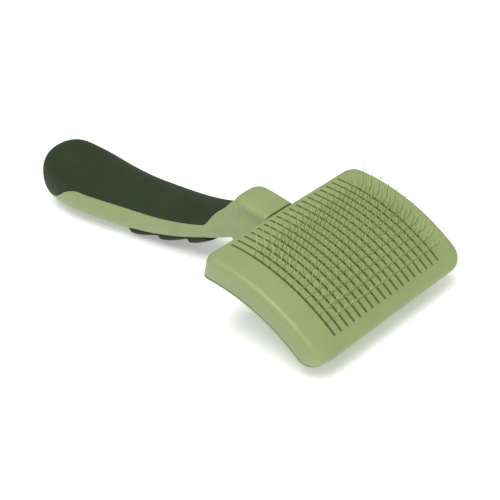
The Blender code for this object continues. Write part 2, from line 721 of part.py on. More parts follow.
def section_point(s, angle, offset):
    """Point of the handle section at an angle in degrees, pushed outward by an offset."""
    centre, up = handle_axis(s)
    scale = end_scale(s)
    c, d = cos(radians(angle)), sin(radians(angle))
    wide = handle_half_width(s) * scale + offset
    deep = handle_half_depth(s) * scale + offset + (handle_belly(s) if d < 0 else 0)
    power = 2 / SECTION_POWER
    y = wide * (abs(c) ** power) * (1 if c >= 0 else -1)
    rise = deep * (abs(d) ** power) * (1 if d >= 0 else -1)
    return centre + Vector((0, y, 0)) + up * rise


def grip_edge(s):
    """Angle of the pad's edge: high nose at the front, low behind it, lowest round the end."""
    side_gain = GRIP_EDGE_ANGLE - GRIP_FRONT_EDGE_ANGLE
    side = GRIP_FRONT_EDGE_ANGLE + side_gain * ease(s, *GRIP_SIDE_SPAN)
    nose = (GRIP_NOSE_ANGLE - side) * (1 - ease(s, GRIP_FRONT, GRIP_FRONT + GRIP_NOSE_LENGTH))
    wrap = (GRIP_END_ANGLE - GRIP_EDGE_ANGLE) * ease(s, *GRIP_WRAP_SPAN)
    return side + nose + wrap


def grip_inset(s):
    return min(GRIP_THICKNESS, GRIP_THIN_SHARE * handle_half_depth(s) * end_scale(s))


def handle_stations():
    body = arc_positions(HANDLE_FRONT, HANDLE_LENGTH - END_ROUND, 12)
    cap = [HANDLE_LENGTH - END_ROUND * (1 - t) for t in (0.3, 0.55, 0.75, 0.88, 0.96, 0.993)]
    return body + cap


def sweep_angles(start, end, count):
    return [start + (end - start) * step / count for step in range(count + 1)]


def handle_core():
    """Handle sections, sunk under the pad by its thickness and a gap."""
    rings = []
    for s in handle_stations():
        edge = grip_edge(s)
        bare = [section_point(s, angle, 0.0) for angle in sweep_angles(-180 - edge, edge, 18)]
        covered = [section_point(s, angle, -grip_inset(s) - GAP)
                   for angle in sweep_angles(edge, 180 - edge, 12)]
        rings.append(bare + covered)
    return loft(rings)


def neck_block():
    """Neck with softened long edges, cut back where the pad's nose runs up on it."""
    neck = side_plate(NECK_PROFILE, -NECK_HALF_WIDTH, NECK_HALF_WIDTH)
    long_edges = [edge for edge in neck.edges if edge.verts[0].co.y * edge.verts[1].co.y > 0
                  and min(vert.co.z for vert in edge.verts) < NECK_TOP_Z - 0.1
                  and max(vert.co.x for vert in edge.verts) < NECK_SHOULDER_X]
    bmesh.ops.bevel(neck, geom=long_edges, offset=NECK_SOFTEN, segments=2, profile=0.5,
                    affect="EDGES", clamp_overlap=True)
    grip_room = loft(grip_rings(0.0, GRIP_ROOM_OUT, GAP - 0.05, GRIP_FRONT - GRIP_EDGE_LIFT))
    return boolean(neck, grip_room, "DIFFERENCE")


def neck_cavity():
    """Side outline of the room for the lever's hub, its tongue and the button's flange."""
    half, floor = CAVITY_FLOOR_HALF, CAVITY_FLOOR_Z
    spots = [button_frame() @ Vector((along, 0, height))
             for along, height in ((half, floor), (-half, floor), (-half, floor + 6.0))]
    outline = [*CAVITY_FRONT, *[(spot.x, spot.z) for spot in spots], *CAVITY_REAR_TOP]
    return side_plate(outline, -NECK_CAVITY_HALF, NECK_CAVITY_HALF)


def handle_body():
    """Moulded handle core joined to the hollow neck block."""
    bm = boolean(handle_core(), neck_block(), "UNION")
    seat = circle(*PIVOT, PIVOT_PIN_RADIUS + PIN_SEAT_GAP)
    hole = [button_ring(BUTTON_HALF_LENGTH + GAP, BUTTON_HALF_WIDTH + GAP, BUTTON_CORNER + 0.2, height)
            for height in (-8.0, 3.0)]
    for cutter in (neck_cavity(), side_plate(seat, -PIVOT_SEAT_HALF, PIVOT_SEAT_HALF), loft(hole)):
        bm = boolean(bm, cutter, "DIFFERENCE")
    return finish(bm, "handle_body", "green_plastic")


def grip_rings(edge_lift, outward, inward, front):
    """Crescent sections over the upper side of the handle, from a front station to the end."""
    rings = []
    for station in handle_stations():
        s = max(station, front)
        edge = grip_edge(s)
        outer = [section_point(s, angle, outward) for angle in sweep_angles(edge, 180 - edge, 12)]
        inner = [section_point(s, angle, -grip_inset(s) - inward)
                 for angle in sweep_angles(180 - edge, edge, 12)]
        up = handle_axis(s)[1]
        for index in (0, 12):
            outer[index] = outer[index] + up * edge_lift
            inner[index] = inner[index] + up * edge_lift
        rings.append(outer + inner)
    return rings


def grip_pad():
    """Soft pad over the upper side of the handle, wrapping its end."""
    bm = loft(grip_rings(GRIP_EDGE_LIFT, 0.0, 0.0, GRIP_FRONT))
    return finish(bm, "grip_pad", "dark_rubber")


def ridge_stations():
    """Stations and heights of the saw-tooth profile, steep on the side away from the head."""
    steps = []
    for tooth in range(RIDGE_COUNT):
        start = RIDGE_START + tooth * RIDGE_PITCH
        first = RIDGE_VALLEY if tooth else RIDGE_FIRST
        for t in (first, 0.5, RIDGE_PEAK, 1 - RIDGE_VALLEY):
            height = RIDGE_LOW + (RIDGE_HIGH - RIDGE_LOW) * ease(t, 0, RIDGE_PEAK)
            steps.append((start + t * RIDGE_PITCH, height))
    steps.append((RIDGE_START + RIDGE_COUNT * RIDGE_PITCH + 0.3, RIDGE_LOW))
    return steps


def thumb_rest():
    """Soft ridged pad on the underside of the handle."""
    wide, narrow = RIDGE_HALF_SWEEP, RIDGE_HALF_SWEEP - RIDGE_SIDE_SLOPE
    rings = []
    for s, height in ridge_stations():
        inner = [section_point(s, angle, GAP) for angle in sweep_angles(-90 - wide, -90 + wide, 8)]
        outer = [section_point(s, angle, GAP + height)
                 for angle in sweep_angles(-90 + narrow, -90 - narrow, 8)]
        rings.append(inner + outer)
    return finish(loft(rings), "thumb_rest", "dark_rubber")


# ---------------------------------------------------------------- assembly
def rest_on_table():
    """Tilt the brush to its lying attitude and put the bottom centre of its box at the origin."""
    HEAD.rotation_euler = (0, radians(REST_TILT), 0)
    turn = Matrix.Rotation(radians(REST_TILT), 4, "Y")
    points = []
    for part in bpy.data.objects:
        if part.type == "MESH":
            points += [turn @ (vert.co + part.location) for vert in part.data.vertices]
    low = Vector([min(point[axis] for point in points) for axis in range(3)])
    high = Vector([max(point[axis] for point in points) for axis in range(3)])
    HEAD.location = (-(low.x + high.x) / 2, -(low.y + high.y) / 2, -low.z)


def build():
    head_frame()
    rear_cover()
    pin_carrier()
    for number, row in enumerate(slot_rows(), 1):
        pin_comb(number, row)
    for number, (x, y) in enumerate(post_spots(), 1):
        guide_post(number, x, y)
        cover_screw(number, x, y)
        return_spring(number, x, y)
    lifter_lever()
    pivot = (PIVOT[0], 0, PIVOT[1])
    cross_pin("pivot_pin", PIVOT, PIVOT_PIN_RADIUS, PIVOT_PIN_HALF, pivot)
    cross_pin("lifter_pin", (LIFT_PIN_X, LIFT_PIN_Z), LIFT_PIN_RADIUS, CROSS_PIN_HALF, pivot)
    thumb_button()
    neck_cap()
    handle_body()
    grip_pad()
    thumb_rest()
    rest_on_table()


clear_scene()
HEAD = bpy.data.objects.new("head_axes", None)
bpy.context.scene.collection.objects.link(HEAD)
build()
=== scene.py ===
"""Looks of the slicker brush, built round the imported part. Shapes are in head millimetres."""

import json
from math import asin, cos, pi, radians, sin, sqrt

import bmesh
import bpy
import numpy as np
from mathutils import Matrix, Vector


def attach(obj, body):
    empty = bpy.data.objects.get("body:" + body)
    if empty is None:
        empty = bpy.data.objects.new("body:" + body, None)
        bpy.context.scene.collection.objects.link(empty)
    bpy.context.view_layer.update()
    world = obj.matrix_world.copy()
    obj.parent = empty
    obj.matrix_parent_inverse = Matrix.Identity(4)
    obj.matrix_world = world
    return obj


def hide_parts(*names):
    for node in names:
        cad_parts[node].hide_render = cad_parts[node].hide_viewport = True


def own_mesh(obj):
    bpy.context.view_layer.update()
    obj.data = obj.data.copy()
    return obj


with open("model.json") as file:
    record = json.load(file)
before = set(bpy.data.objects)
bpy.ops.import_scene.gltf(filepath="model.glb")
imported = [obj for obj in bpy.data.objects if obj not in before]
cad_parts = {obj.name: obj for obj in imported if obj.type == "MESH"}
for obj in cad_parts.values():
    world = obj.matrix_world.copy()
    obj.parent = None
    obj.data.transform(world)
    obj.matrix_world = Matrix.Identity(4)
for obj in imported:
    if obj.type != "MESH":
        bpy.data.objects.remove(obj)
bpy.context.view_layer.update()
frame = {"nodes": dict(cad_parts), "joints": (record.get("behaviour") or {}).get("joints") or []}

# ------------------------ dimensions, mm
MM = 0.001
GAP = 0.3

FACE_RADIUS = 80.0
REAR_ARC = 32.0
FRONT_ARC = 35.4
HEAD_HALF_WIDTH = 45.0
HEAD_FRONT_CORNER = 8.2
HEAD_REAR_CORNER = 5.6
WALL_HEIGHT = 9.8
WALL = 2.0
REAR_WALL_LEAN = 8.0
CORNER_FLARE = 4.5         # degrees less lean toward the rear corners
CORNER_FLARE_SPAN = (15.0, 40.0)
LEAN_BLEND = 4.0           # degrees over which the rear wall's lean fades in
EDGE_ROUND = 2.8
EDGE_STEPS = 7
LIP_BOTTOM = 0.35          # rounding of the skirt's lower outer edge
SKIRT_MIDDLE = 5.0         # depth of the one extra ring on the skirt's outside
SKIRT_SOFTEN = 0.2         # rounding of the skirt's lower inner edge
INNER_FILLET = 0.8         # between the skirt and the underside of the face

SLOT_COUNT = 18
SLOT_PITCH = 3.75
SLOT_WIDTH = 0.95
SLOT_HALF_ARC = 28.7
SLOT_SIDE_STEPS = 90
SLOT_END_STEPS = 8
SLOT_LIP = 0.14
SLOT_LIP_STEPS = 4
CELL_REAR = -29.4
CELL_FRONT = 30.6

COVER_WALL = 1.6
COVER_BACK_Z = -25.2
COVER_HALF_WIDTH = 33.4
COVER_REAR_X = -23.0
COVER_FRONT_X = 25.0
COVER_CORNER = 7.0
COVER_FILLET = 3.4
COVER_SHOULDER = 0.78      # share of the dish's flank where its rounding starts
COVER_FILLET_STEPS = 8
COVER_RIM_SOFTEN = 0.2
LEVER_OPENING_GAP = 1.0    # each side of the lever where it passes the cover
LEVER_OPENING_X = (-40, -16)
LEVER_OPENING_TOP = -8

PINS_PER_COMB = 11
PIN_FIRST_ANGLE = -11.7
PIN_LAST_ANGLE = 16.1
PIN_RADIUS = 0.185
PIN_SHANK = 5.2
PIN_HOOK = 7.2
PIN_BEND = 1.5             # length of each leg taken by the bend
PIN_BEND_STEPS = 5
PIN_SIDES = 8
SHANK_LEAN = 14.0
HOOK_LEAN = -8.0
SPINE_TOP_RADIUS = 77.3
SPINE_HEIGHT = 0.8
SPINE_STEPS = 30
SPINE_OVERHANG = (0.6, 1.6)      # degrees of strip past the first and the last pin
SPINE_FLAT = (0.66, 1.05)        # the strip's width and height against a round section

CARRIER_TOP_RADIUS = 76.2
CARRIER_THICKNESS = 2.0
CARRIER_HALF_WIDTH = 32.7
CARRIER_REAR_ANGLE = -13.5
CARRIER_FRONT_ANGLE = 17.7
CARRIER_CORNER = 4.5
CARRIER_STRIPS = 40
CARRIER_EDGE = 0.35
NOTCH_GAP = 0.45           # each side of the lever in the carrier
NOTCH_X = (-25, -6)
NOTCH_BOTTOM = -15
PIN_TRAVEL = 13.2

POST_X = (-10.0, 16.0)
POST_Y = 26.25
POST_RADIUS = 1.1
POST_FOOT_RADIUS = 1.8
POST_FOOT = 1.0
SCREW_RADIUS = 0.7
SCREW_HEAD_RADIUS = 2.2
SCREW_HEAD = 0.7
SCREW_RECESS_FLARE = 1.35
CROSS_LENGTH = 1.25
CROSS_WIDTH = 0.24
CROSS_DEPTH = 0.42
SPRING_BASE_RADIUS = 4.4
SPRING_TOP_RADIUS = 1.95
SPRING_WIRE = 0.25
SPRING_TURNS = 5
SPRING_STEPS = 32          # per turn
SPRING_SIDES = 10
SPRING_SEAT = 0.15         # air above and below the spring

PIVOT = (-33.0, -21.9)
PIVOT_PIN_RADIUS = 1.2
LEVER_ARM = 40.0
LEVER_HALF_THICKNESS = 0.8
LIFT_PIN_RADIUS = 0.8
LIFT_PIN_Z = -7.8
RUNNING = 0.35
LUG_INNER = 1.2
LUG_OUTER = 3.2
LUG_WALL = 1.1
LUG_CHAMFER = 1.2
LUG_ROOT = 0.9             # how far the lugs reach into the plate

NECK_HALF_WIDTH = 8.6
NECK_CAVITY_HALF = 5.4
NECK_TOP_Z = -15.2
NECK_PROFILE = ((-30.6, NECK_TOP_Z), (-30.2, -16.2), (-23.6, -25.4), (-31.0, -28.2), (-43.0, -33.2),
                (-50.0, -30.0), (-53.0, -21.0), (-50.6, NECK_TOP_Z))
NECK_SOFTEN = 2.0          # rounding of the neck's long lower edges
NECK_SHOULDER_X = -30
CAP_FRONT_X = -31.3
CAP_REAR_X = -50.4
CAP_CROWN_Z = -7.2
CAP_SLOPE = 0.19
CAP_CORNER = 5.0
CAP_EDGE_INSET = 4.4
CAP_EDGE_DROP = 2.8
CAP_EDGE_STEPS = 8
CAP_FRONT_CORNER = 0.6
CAP_CORNER_SHRINK = 0.6    # how fast the deck's corners tighten toward its top
CAP_REACH = 2.0            # how far the deck runs down into the neck
NECK_DIMPLE = 0.8          # hollow of the neck's sides under the deck
BUTTON_SPOT = (-38.7, -31.55)
BUTTON_SLOPE = 31.0
BUTTON_HALF_LENGTH = 5.3
BUTTON_HALF_WIDTH = 4.3
BUTTON_PROUD = 3.6
BUTTON_FLANGE = 0.9
BUTTON_NOSE = 5.8
BUTTON_ROUND = 0.9         # rounding of the crown's edge
BUTTON_DOME = 0.25
BUTTON_CROWN_STEPS = 12
RIB_PITCH = 2.1
RIB_HEIGHT = 0.4
CAVITY_FLOOR_Z = 1.9
CAVITY_FLOOR_HALF = 6.7
CAVITY_RISE = 6.0
CAVITY_FRONT = ((-15.0, -5.0), (-15.0, -24.2), (-31.5, -26.4))
CAVITY_REAR = (-47.0, -21.5)
CAVITY_TOP_X = (-46.6, -20.0)
PIVOT_SEAT_HALF = 7.7
BUTTON_FLOOR = 2.1
BUTTON_CORNER = 2.0
BUTTON_HOLE_CORNER = 2.2
BUTTON_HOLE_FLARE = 3.0

HANDLE_START = (-52.5, -31.5)
HANDLE_BEND_RADIUS = 256.0
HANDLE_START_SLOPE = 40.5
HANDLE_LENGTH = 126.5
HANDLE_FRONT = -7.0
HANDLE_HALF_WIDTH = 8.5    # at the neck; each step after it is (gain, from, to) along the handle
HANDLE_WIDTH_STEPS = ((4.9, -8.0, 62.0), (4.3, 48.0, 96.0), (-3.2, 96.0, HANDLE_LENGTH))
HANDLE_HALF_DEPTH = 7.1
HANDLE_DEPTH_STEPS = ((4.2, -5.0, 60.0), (3.4, 80.0, HANDLE_LENGTH - 8.0))
END_ROUND = 16.0
END_POWER = 2.4
END_STEPS = 16
END_TIP = 0.02             # the last section stops this far before the tip
SECTION_POWER = 2.3
BELLY = 0.6
BELLY_SPAN = (-8.0, 6.0, 18.0, 48.0)
SECTION_SWEEP = (-180, 177.5, 143)
GRIP_THICKNESS = 2.2
GRIP_FRONT = -4.0
GRIP_EDGE_ANGLE = 21.0
GRIP_FRONT_EDGE_ANGLE = 3.0
GRIP_END_ANGLE = -24.0
GRIP_NOSE_ANGLE = 74.0
GRIP_NOSE_LENGTH = 14.0
GRIP_SIDE_SPAN = (0, 80)
GRIP_WRAP_SPAN = (88, 114)
GRIP_SHARE = 0.4           # the pad is never thicker than this share of the half depth
GRIP_CORE_END = 1.5        # the pad is solid over this much of the tip
GRIP_SEAM = 0.12           # the pad's recess starts this far below the pad's edge line
PAD_SHORT = 0.1            # the pad itself stops this far above it
PAD_ROOM = 4.0
RIDGE_COUNT = 3
RIDGE_PITCH = 18.4
RIDGE_START = 7.4
RIDGE_LOW = 0.3
RIDGE_HIGH = 1.9
RIDGE_HALF_SWEEP = 42.0
RIDGE_FIRST = 0.36         # share of the first tooth left out at the neck
RIDGE_PEAK = 0.85          # share of a tooth where it is highest
RIDGE_DROP = 0.93          # share of a tooth where the steep side starts
RIDGE_FALL = 0.97          # how much of the rise the steep side loses
RIDGE_RAMP_STEPS = 22
RIDGE_DROP_SHARES = (0.86, 0.9, 0.93, 0.945, 0.96, 0.975, 0.99)
RIDGE_END = 0.3
RIDGE_TAPER = 0.25
RIDGE_ACROSS = 32
RIDGE_SIDE_POWER = 10
RIDGE_SIDE_FALL = 0.8

BODY_VOXEL = 0.42
PAD_VOXEL = 0.34
NECK_FLOW_ROUNDS = 36      # smoothing rounds where the neck runs into the handle
SHARP = 35.0               # degrees between faces from which an edge stays sharp
BODY_SHARP = 32.0

# ------------------------ camera and light, metres and degrees
CAMERA_AZIMUTH = 47.61
CAMERA_ELEVATION = 30.99
CAMERA_ROLL = -6.97
CAMERA_FROM_HEAD = (0.28918, -0.31174, 0.25682)
CAMERA_LENS = 90.7
SENSOR_WIDTH = 36.0
SKY_STRENGTH = 0.50
KEY_LIGHT = ((0.25, -0.30, 1.1), 0.9, 12.5)      # place, size, watts
FILL_LIGHT = ((0.9, -0.7, 0.8), 1.0, 2.0)
FLOOR_HALF = 3.0
FLOOR_GLOW = 0.28          # lifts the contact shadow, as on a lit table

COVER_FLOOR_Z = COVER_BACK_Z + COVER_WALL
CARRIER_BOTTOM_RADIUS = CARRIER_TOP_RADIUS - CARRIER_THICKNESS
LIFT_PIN_X = PIVOT[0] + LEVER_ARM * cos(asin((LIFT_PIN_Z - PIVOT[1]) / LEVER_ARM))
LIFT_PIN_X_LOW = PIVOT[0] + LEVER_ARM * cos(asin((LIFT_PIN_Z - PIN_TRAVEL - PIVOT[1]) / LEVER_ARM))

# ------------------------ head axes from the record
JOINTS = {joint["name"]: joint for joint in frame["joints"]}


def head_matrix():
    """Head millimetres to the row frame, from the pins' slide axis and the lever's hinge."""
    normal = -Vector(JOINTS["pin_retract"]["axis"]).normalized()
    across = Vector((0, 1, 0))
    rotation = Matrix((across.cross(normal), across, normal)).transposed()
    pivot = rotation @ Vector((PIVOT[0], 0, PIVOT[1])) * MM
    matrix = rotation.to_4x4() @ Matrix.Scale(MM, 4)
    matrix.translation = Vector(JOINTS["lifter_swing"]["pos_m"]) - pivot
    return matrix


HEAD = head_matrix()


# ------------------------ mesh helpers
def linked(name, data):
    item = bpy.data.objects.new(name, data)
    bpy.context.scene.collection.objects.link(item)
    return item


def to_object(bm, name, sharp=SHARP):
    """A smooth-shaded mesh object from a millimetre bmesh, still in head millimetres."""
    bmesh.ops.remove_doubles(bm, verts=bm.verts, dist=1e-4)
    bmesh.ops.recalc_face_normals(bm, faces=bm.faces)
    mesh = bpy.data.meshes.new(name)
    bm.to_mesh(mesh)
    bm.free()
    shade(mesh, sharp)
    return linked(name, mesh)


def shade(mesh, sharp=SHARP):
    for polygon in mesh.polygons:
        polygon.use_smooth = True
    mesh.set_sharp_from_angle(angle=radians(sharp))


def place(item, surface, body, replaced=()):
    """Move a piece from head millimetres to the row frame and tie it to its body."""
    item.data.transform(HEAD)
    item.data.materials.clear()
    item.data.materials.append(surface)
    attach(item, body)
    if replaced:
        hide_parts(*replaced)
    return item


def drop(item):
    mesh = item.data
    bpy.data.objects.remove(item, do_unlink=True)
    bpy.data.meshes.remove(mesh)


def bake(item):
    """Replace the mesh by what its modifiers make of it."""
    graph = bpy.context.evaluated_depsgraph_get()
    made = bpy.data.meshes.new_from_object(item.evaluated_get(graph), depsgraph=graph)
    old = item.data
    item.modifiers.clear()
    item.data = made
    made.name = item.name
    bpy.data.meshes.remove(old)


def combine(item, tool, operation, solver="MANIFOLD"):
    """Boolean of two objects; the tool is used up."""
    modifier = item.modifiers.new("combine", "BOOLEAN")
    modifier.operation = operation
    modifier.solver = solver
    modifier.object = tool
    bake(item)
    drop(tool)
    return item


def remesh(item, size):
    modifier = item.modifiers.new("voxels", "REMESH")
    modifier.mode = "VOXEL"
    modifier.voxel_size = size
    bake(item)


def read_points(mesh):
    points = np.zeros(len(mesh.vertices) * 3)
    mesh.vertices.foreach_get("co", points)
    return points.reshape(-1, 3)


def write_points(mesh, points):
    mesh.vertices.foreach_set("co", points.ravel())
    mesh.update()


def relax(item, weight_of, rounds, push_back=0.0):
    """Laplacian smoothing with a weight per point; push_back keeps the volume."""
    mesh = item.data
    points = read_points(mesh)
    edges = np.zeros(len(mesh.edges) * 2, dtype=int)
    mesh.edges.foreach_get("vertices", edges)
    edges = edges.reshape(-1, 2)
    total = len(points)
    degree = np.maximum(np.bincount(edges.ravel(), minlength=total), 1)[:, None]
    weight = weight_of(points)[:, None]
    for _ in range(rounds):
        for factor in ((1.0, -push_back) if push_back else (1.0,)):
            mean = np.stack([np.bincount(edges[:, 0], points[edges[:, 1], k], total)
                             + np.bincount(edges[:, 1], points[edges[:, 0], k], total)
                             for k in range(3)], axis=1) / degree
            points += factor * weight * (mean - points)
    write_points(mesh, points)


def ease(value, start, end):
    """Smooth step from 0 to 1, for a number or an array."""
    t = np.clip((value - start) / (end - start), 0.0, 1.0)
    return t * t * (3 - 2 * t)


# ------------------------ shape helpers
def bent(u, v, w):
    """Flat head coordinates (arc, across, depth) wrapped on the curved face."""
    angle = u / FACE_RADIUS
    limit = -radians(REAR_WALL_LEAN - CORNER_FLARE * ease(abs(v), *CORNER_FLARE_SPAN))
    inward = 0.5 * (angle + limit + sqrt((angle - limit) ** 2 + radians(LEAN_BLEND) ** 2))
    x = FACE_RADIUS * sin(angle) - w * sin(inward)
    z = FACE_RADIUS * (cos(angle) - 1) - w * cos(inward)
    return Vector((x, v, z))


def rounded_rectangle(x0, x1, y0, y1, radius, rear_radius=None, segments=12, side_steps=1):
    """Closed outline with every side split; the corners at x0 may have their own radius."""
    rear = radius if rear_radius is None else rear_radius
    corners = ((x1 - radius, y1 - radius, radius, 0), (x0 + rear, y1 - rear, rear, 90),
               (x0 + rear, y0 + rear, rear, 180), (x1 - radius, y0 + radius, radius, 270))
    arcs = []
    for cx, cy, size, start in corners:
        angles = [radians(start + 90 * step / segments) for step in range(segments + 1)]
        arcs.append([(cx + size * cos(angle), cy + size * sin(angle)) for angle in angles])
    points = []
    for index, arc in enumerate(arcs):
        points += arc
        (ax, ay), (bx, by) = arc[-1], arcs[(index + 1) % 4][0]
        for step in range(1, side_steps):
            t = step / side_steps
            points.append((ax + (bx - ax) * t, ay + (by - ay) * t))
    return points


def skin(bm, rings):
    """Quads between closed rings of equal length; gives the first and the last ring's points."""
    loops = [[bm.verts.new(point) for point in ring] for ring in rings]
    for first, second in zip(loops, loops[1:]):
        for index in range(len(first)):
            after = (index + 1) % len(first)
            bm.faces.new((first[index], first[after], second[after], second[index]))
    return loops[0], loops[-1]


def add_loft(bm, rings):
    for end in skin(bm, rings):
        bm.faces.new(end)


def loft(rings):
    """Closed body through rings, with a flat cap on each end."""
    bm = bmesh.new()
    add_loft(bm, rings)
    return bm


def side_plate(outline, y0, y1):
    return loft([[Vector((x, y, z)) for x, z in outline] for y in (y0, y1)])


def block(x0, x1, y0, y1, z0, z1):
    return side_plate(((x0, z0), (x1, z0), (x1, z1), (x0, z1)), y0, y1)


def circle(cx, cz, radius, segments=40):
    turn = 2 * pi / segments
    return [(cx + radius * cos(i * turn), cz + radius * sin(i * turn)) for i in range(segments)]


def link_outline(start, start_radius, end, end_radius, segments=16):
    """Outline of two round ends joined by straight flanks."""
    run = Vector((end[0] - start[0], end[1] - start[1]))
    heading = run.angle_signed(Vector((1, 0)))
    points = []
    for centre, radius, side in ((end, end_radius, -pi / 2), (start, start_radius, pi / 2)):
        for step in range(segments + 1):
            angle = heading + side + pi * step / segments
            points.append((centre[0] + radius * cos(angle), centre[1] + radius * sin(angle)))
    return points


def turned(profile, centre, segments=48):
    """Body of revolution about a vertical line; profile is (radius, z) from axis to axis."""
    bm = bmesh.new()
    cx, cy = centre
    turn = 2 * pi / segments
    rings = []
    for radius, z in profile:
        if radius == 0:
            rings.append([bm.verts.new((cx, cy, z))])
        else:
            rings.append([bm.verts.new((cx + radius * cos(i * turn), cy + radius * sin(i * turn), z))
                          for i in range(segments)])
    for first, second in zip(rings, rings[1:]):
        for i in range(segments):
            j = (i + 1) % segments
            if len(first) == 1:
                bm.faces.new((first[0], second[i], second[j]))
            elif len(second) == 1:
                bm.faces.new((first[j], first[i], second[0]))
            else:
                bm.faces.new((first[i], second[i], second[j], first[j]))
    return bm


def tube(bm, path, radius, sides, flat=(1.0, 1.0)):
    """Closed tube with domed ends along a path that stays in one plane across the brush."""
    side = Vector((0, 1, 0))
    headings = [(b - a).normalized() for a, b in zip(path, path[1:])]
    turns = [(a + b).normalized() for a, b in zip(headings, headings[1:])]
    headings = [headings[0], *turns, headings[-1]]
    first, last = headings[0], headings[-1]
    stations = [(path[0] - first * radius * 0.6, first, 0.5)]
    stations += [(point, heading, 1.0) for point, heading in zip(path, headings)]
    stations += [(path[-1] + last * radius * 0.6, last, 0.78), (path[-1] + last * radius, last, 0.35)]
    rings = []
    for point, heading, share in stations:
        across = heading.cross(side)
        ring = []
        for index in range(sides):
            turn = 2 * pi * (index + 0.5) / sides
            offset = side * cos(turn) * flat[0] + across * sin(turn) * flat[1]
            ring.append(point + offset * radius * share)
        rings.append(ring)
    add_loft(bm, rings)


def slot_rows():
    return [(index - (SLOT_COUNT - 1) / 2) * SLOT_PITCH for index in range(SLOT_COUNT)]


def inside_depth(radius, x):
    return sqrt(radius * radius - x * x) - FACE_RADIUS


def curved_point(radius, angle, y):
    return Vector((radius * sin(angle), y, radius * cos(angle) - FACE_RADIUS))


def direction(angle):
    return Vector((sin(angle), 0, cos(angle)))


def post_spots():
    return [(x, y) for x in POST_X for y in (-POST_Y, POST_Y)]


# ------------------------ slotted face
HEAD_CORNERS = (
    (-REAR_ARC + HEAD_REAR_CORNER, -HEAD_HALF_WIDTH + HEAD_REAR_CORNER, HEAD_REAR_CORNER, 180),
    (FRONT_ARC - HEAD_FRONT_CORNER, -HEAD_HALF_WIDTH + HEAD_FRONT_CORNER, HEAD_FRONT_CORNER, 270),
    (FRONT_ARC - HEAD_FRONT_CORNER, HEAD_HALF_WIDTH - HEAD_FRONT_CORNER, HEAD_FRONT_CORNER, 0),
    (-REAR_ARC + HEAD_REAR_CORNER, HEAD_HALF_WIDTH - HEAD_REAR_CORNER, HEAD_REAR_CORNER, 90),
)


def on_arc(corner, inset, degrees_in):
    cx, cy, size, start = corner
    angle = radians(start + degrees_in)
    return cx + (size - inset) * cos(angle), cy + (size - inset) * sin(angle)


def outline_point(side, t, inset):
    """Point of the head's outline on one side, from mid-corner (t = 0) to mid-corner (t = 1)."""
    first, second = HEAD_CORNERS[side], HEAD_CORNERS[(side + 1) % 4]
    leave = (first[2] - EDGE_ROUND) * pi / 4
    arrive = (second[2] - EDGE_ROUND) * pi / 4
    ax, ay = on_arc(first, inset, 90)
    bx, by = on_arc(second, inset, 0)
    straight = sqrt((bx - ax) ** 2 + (by - ay) ** 2)
    travelled = t * (leave + straight + arrive)
    if travelled < leave:
        return on_arc(first, inset, 45 + 45 * travelled / leave)
    if travelled > leave + straight:
        return on_arc(second, inset, 45 * (travelled - leave - straight) / arrive)
    share = (travelled - leave) / straight
    return ax + (bx - ax) * share, ay + (by - ay) * share


def cell_positions():
    """Arc positions along a slot's straight sides, with the cell's end and mid-end points."""
    end = SLOT_HALF_ARC - SLOT_WIDTH / 2
    inner = [-end + 2 * end * step / SLOT_SIDE_STEPS for step in range(SLOT_SIDE_STEPS + 1)]
    return inner, (CELL_REAR + inner[0]) / 2, (CELL_FRONT + inner[-1]) / 2


def slot_ring(row, spread, depth):
    """Round-ended slot outline, spread sideways by a lip radius, at a depth."""
    inner = cell_positions()[0]
    half = SLOT_WIDTH / 2 + spread
    arc = [radians(-90 + 180 * step / SLOT_END_STEPS) for step in range(1, SLOT_END_STEPS)]
    ring = [(u, row - half) for u in inner]
    ring += [(inner[-1] + half * cos(a), row + half * sin(a)) for a in arc]
    ring += [(u, row + half) for u in reversed(inner)]
    ring += [(inner[0] - half * cos(a), row - half * sin(a)) for a in arc]
    return [(u, v, depth) for u, v in ring]


def cell_ring(row, depth):
    """Rectangle round one slot, with a point for each point of the slot's outline."""
    inner, rear_mid, front_mid = cell_positions()
    half = SLOT_PITCH / 2
    spots = (-half, -half / 2, 0.0, half / 2, half)
    ring = [(u, row - half) for u in inner] + [(front_mid, row - half)]
    ring += [(CELL_FRONT, row + v) for v in spots] + [(front_mid, row + half)]
    ring += [(u, row + half) for u in reversed(inner)] + [(rear_mid, row + half)]
    ring += [(CELL_REAR, row - v) for v in spots] + [(rear_mid, row - half)]
    return [(u, v, depth) for u, v in ring]


def field_sides():
    """The four sides of the slotted field as lists of (u, v), in outline order."""
    inner, rear_mid, front_mid = cell_positions()
    along = [CELL_REAR, rear_mid, *inner, front_mid, CELL_FRONT]
    top = SLOT_COUNT * SLOT_PITCH / 2
    steps = SLOT_COUNT * 4
    across = [-top + 2 * top * step / steps for step in range(steps + 1)]
    return ([(u, -top) for u in along], [(CELL_FRONT, v) for v in across],
            [(u, top) for u in reversed(along)], [(CELL_REAR, v) for v in reversed(across)])


def border_ring(inset, depth, amount=1.0):
    """Ring between the slotted field (amount 0) and the head's outline (amount 1)."""
    ring = []
    for side, points in enumerate(field_sides()):
        for index, (u, v) in enumerate(points[:-1]):
            ou, ov = outline_point(side, index / (len(points) - 1), inset)
            ring.append((u + (ou - u) * amount, v + (ov - v) * amount, depth))
    return ring


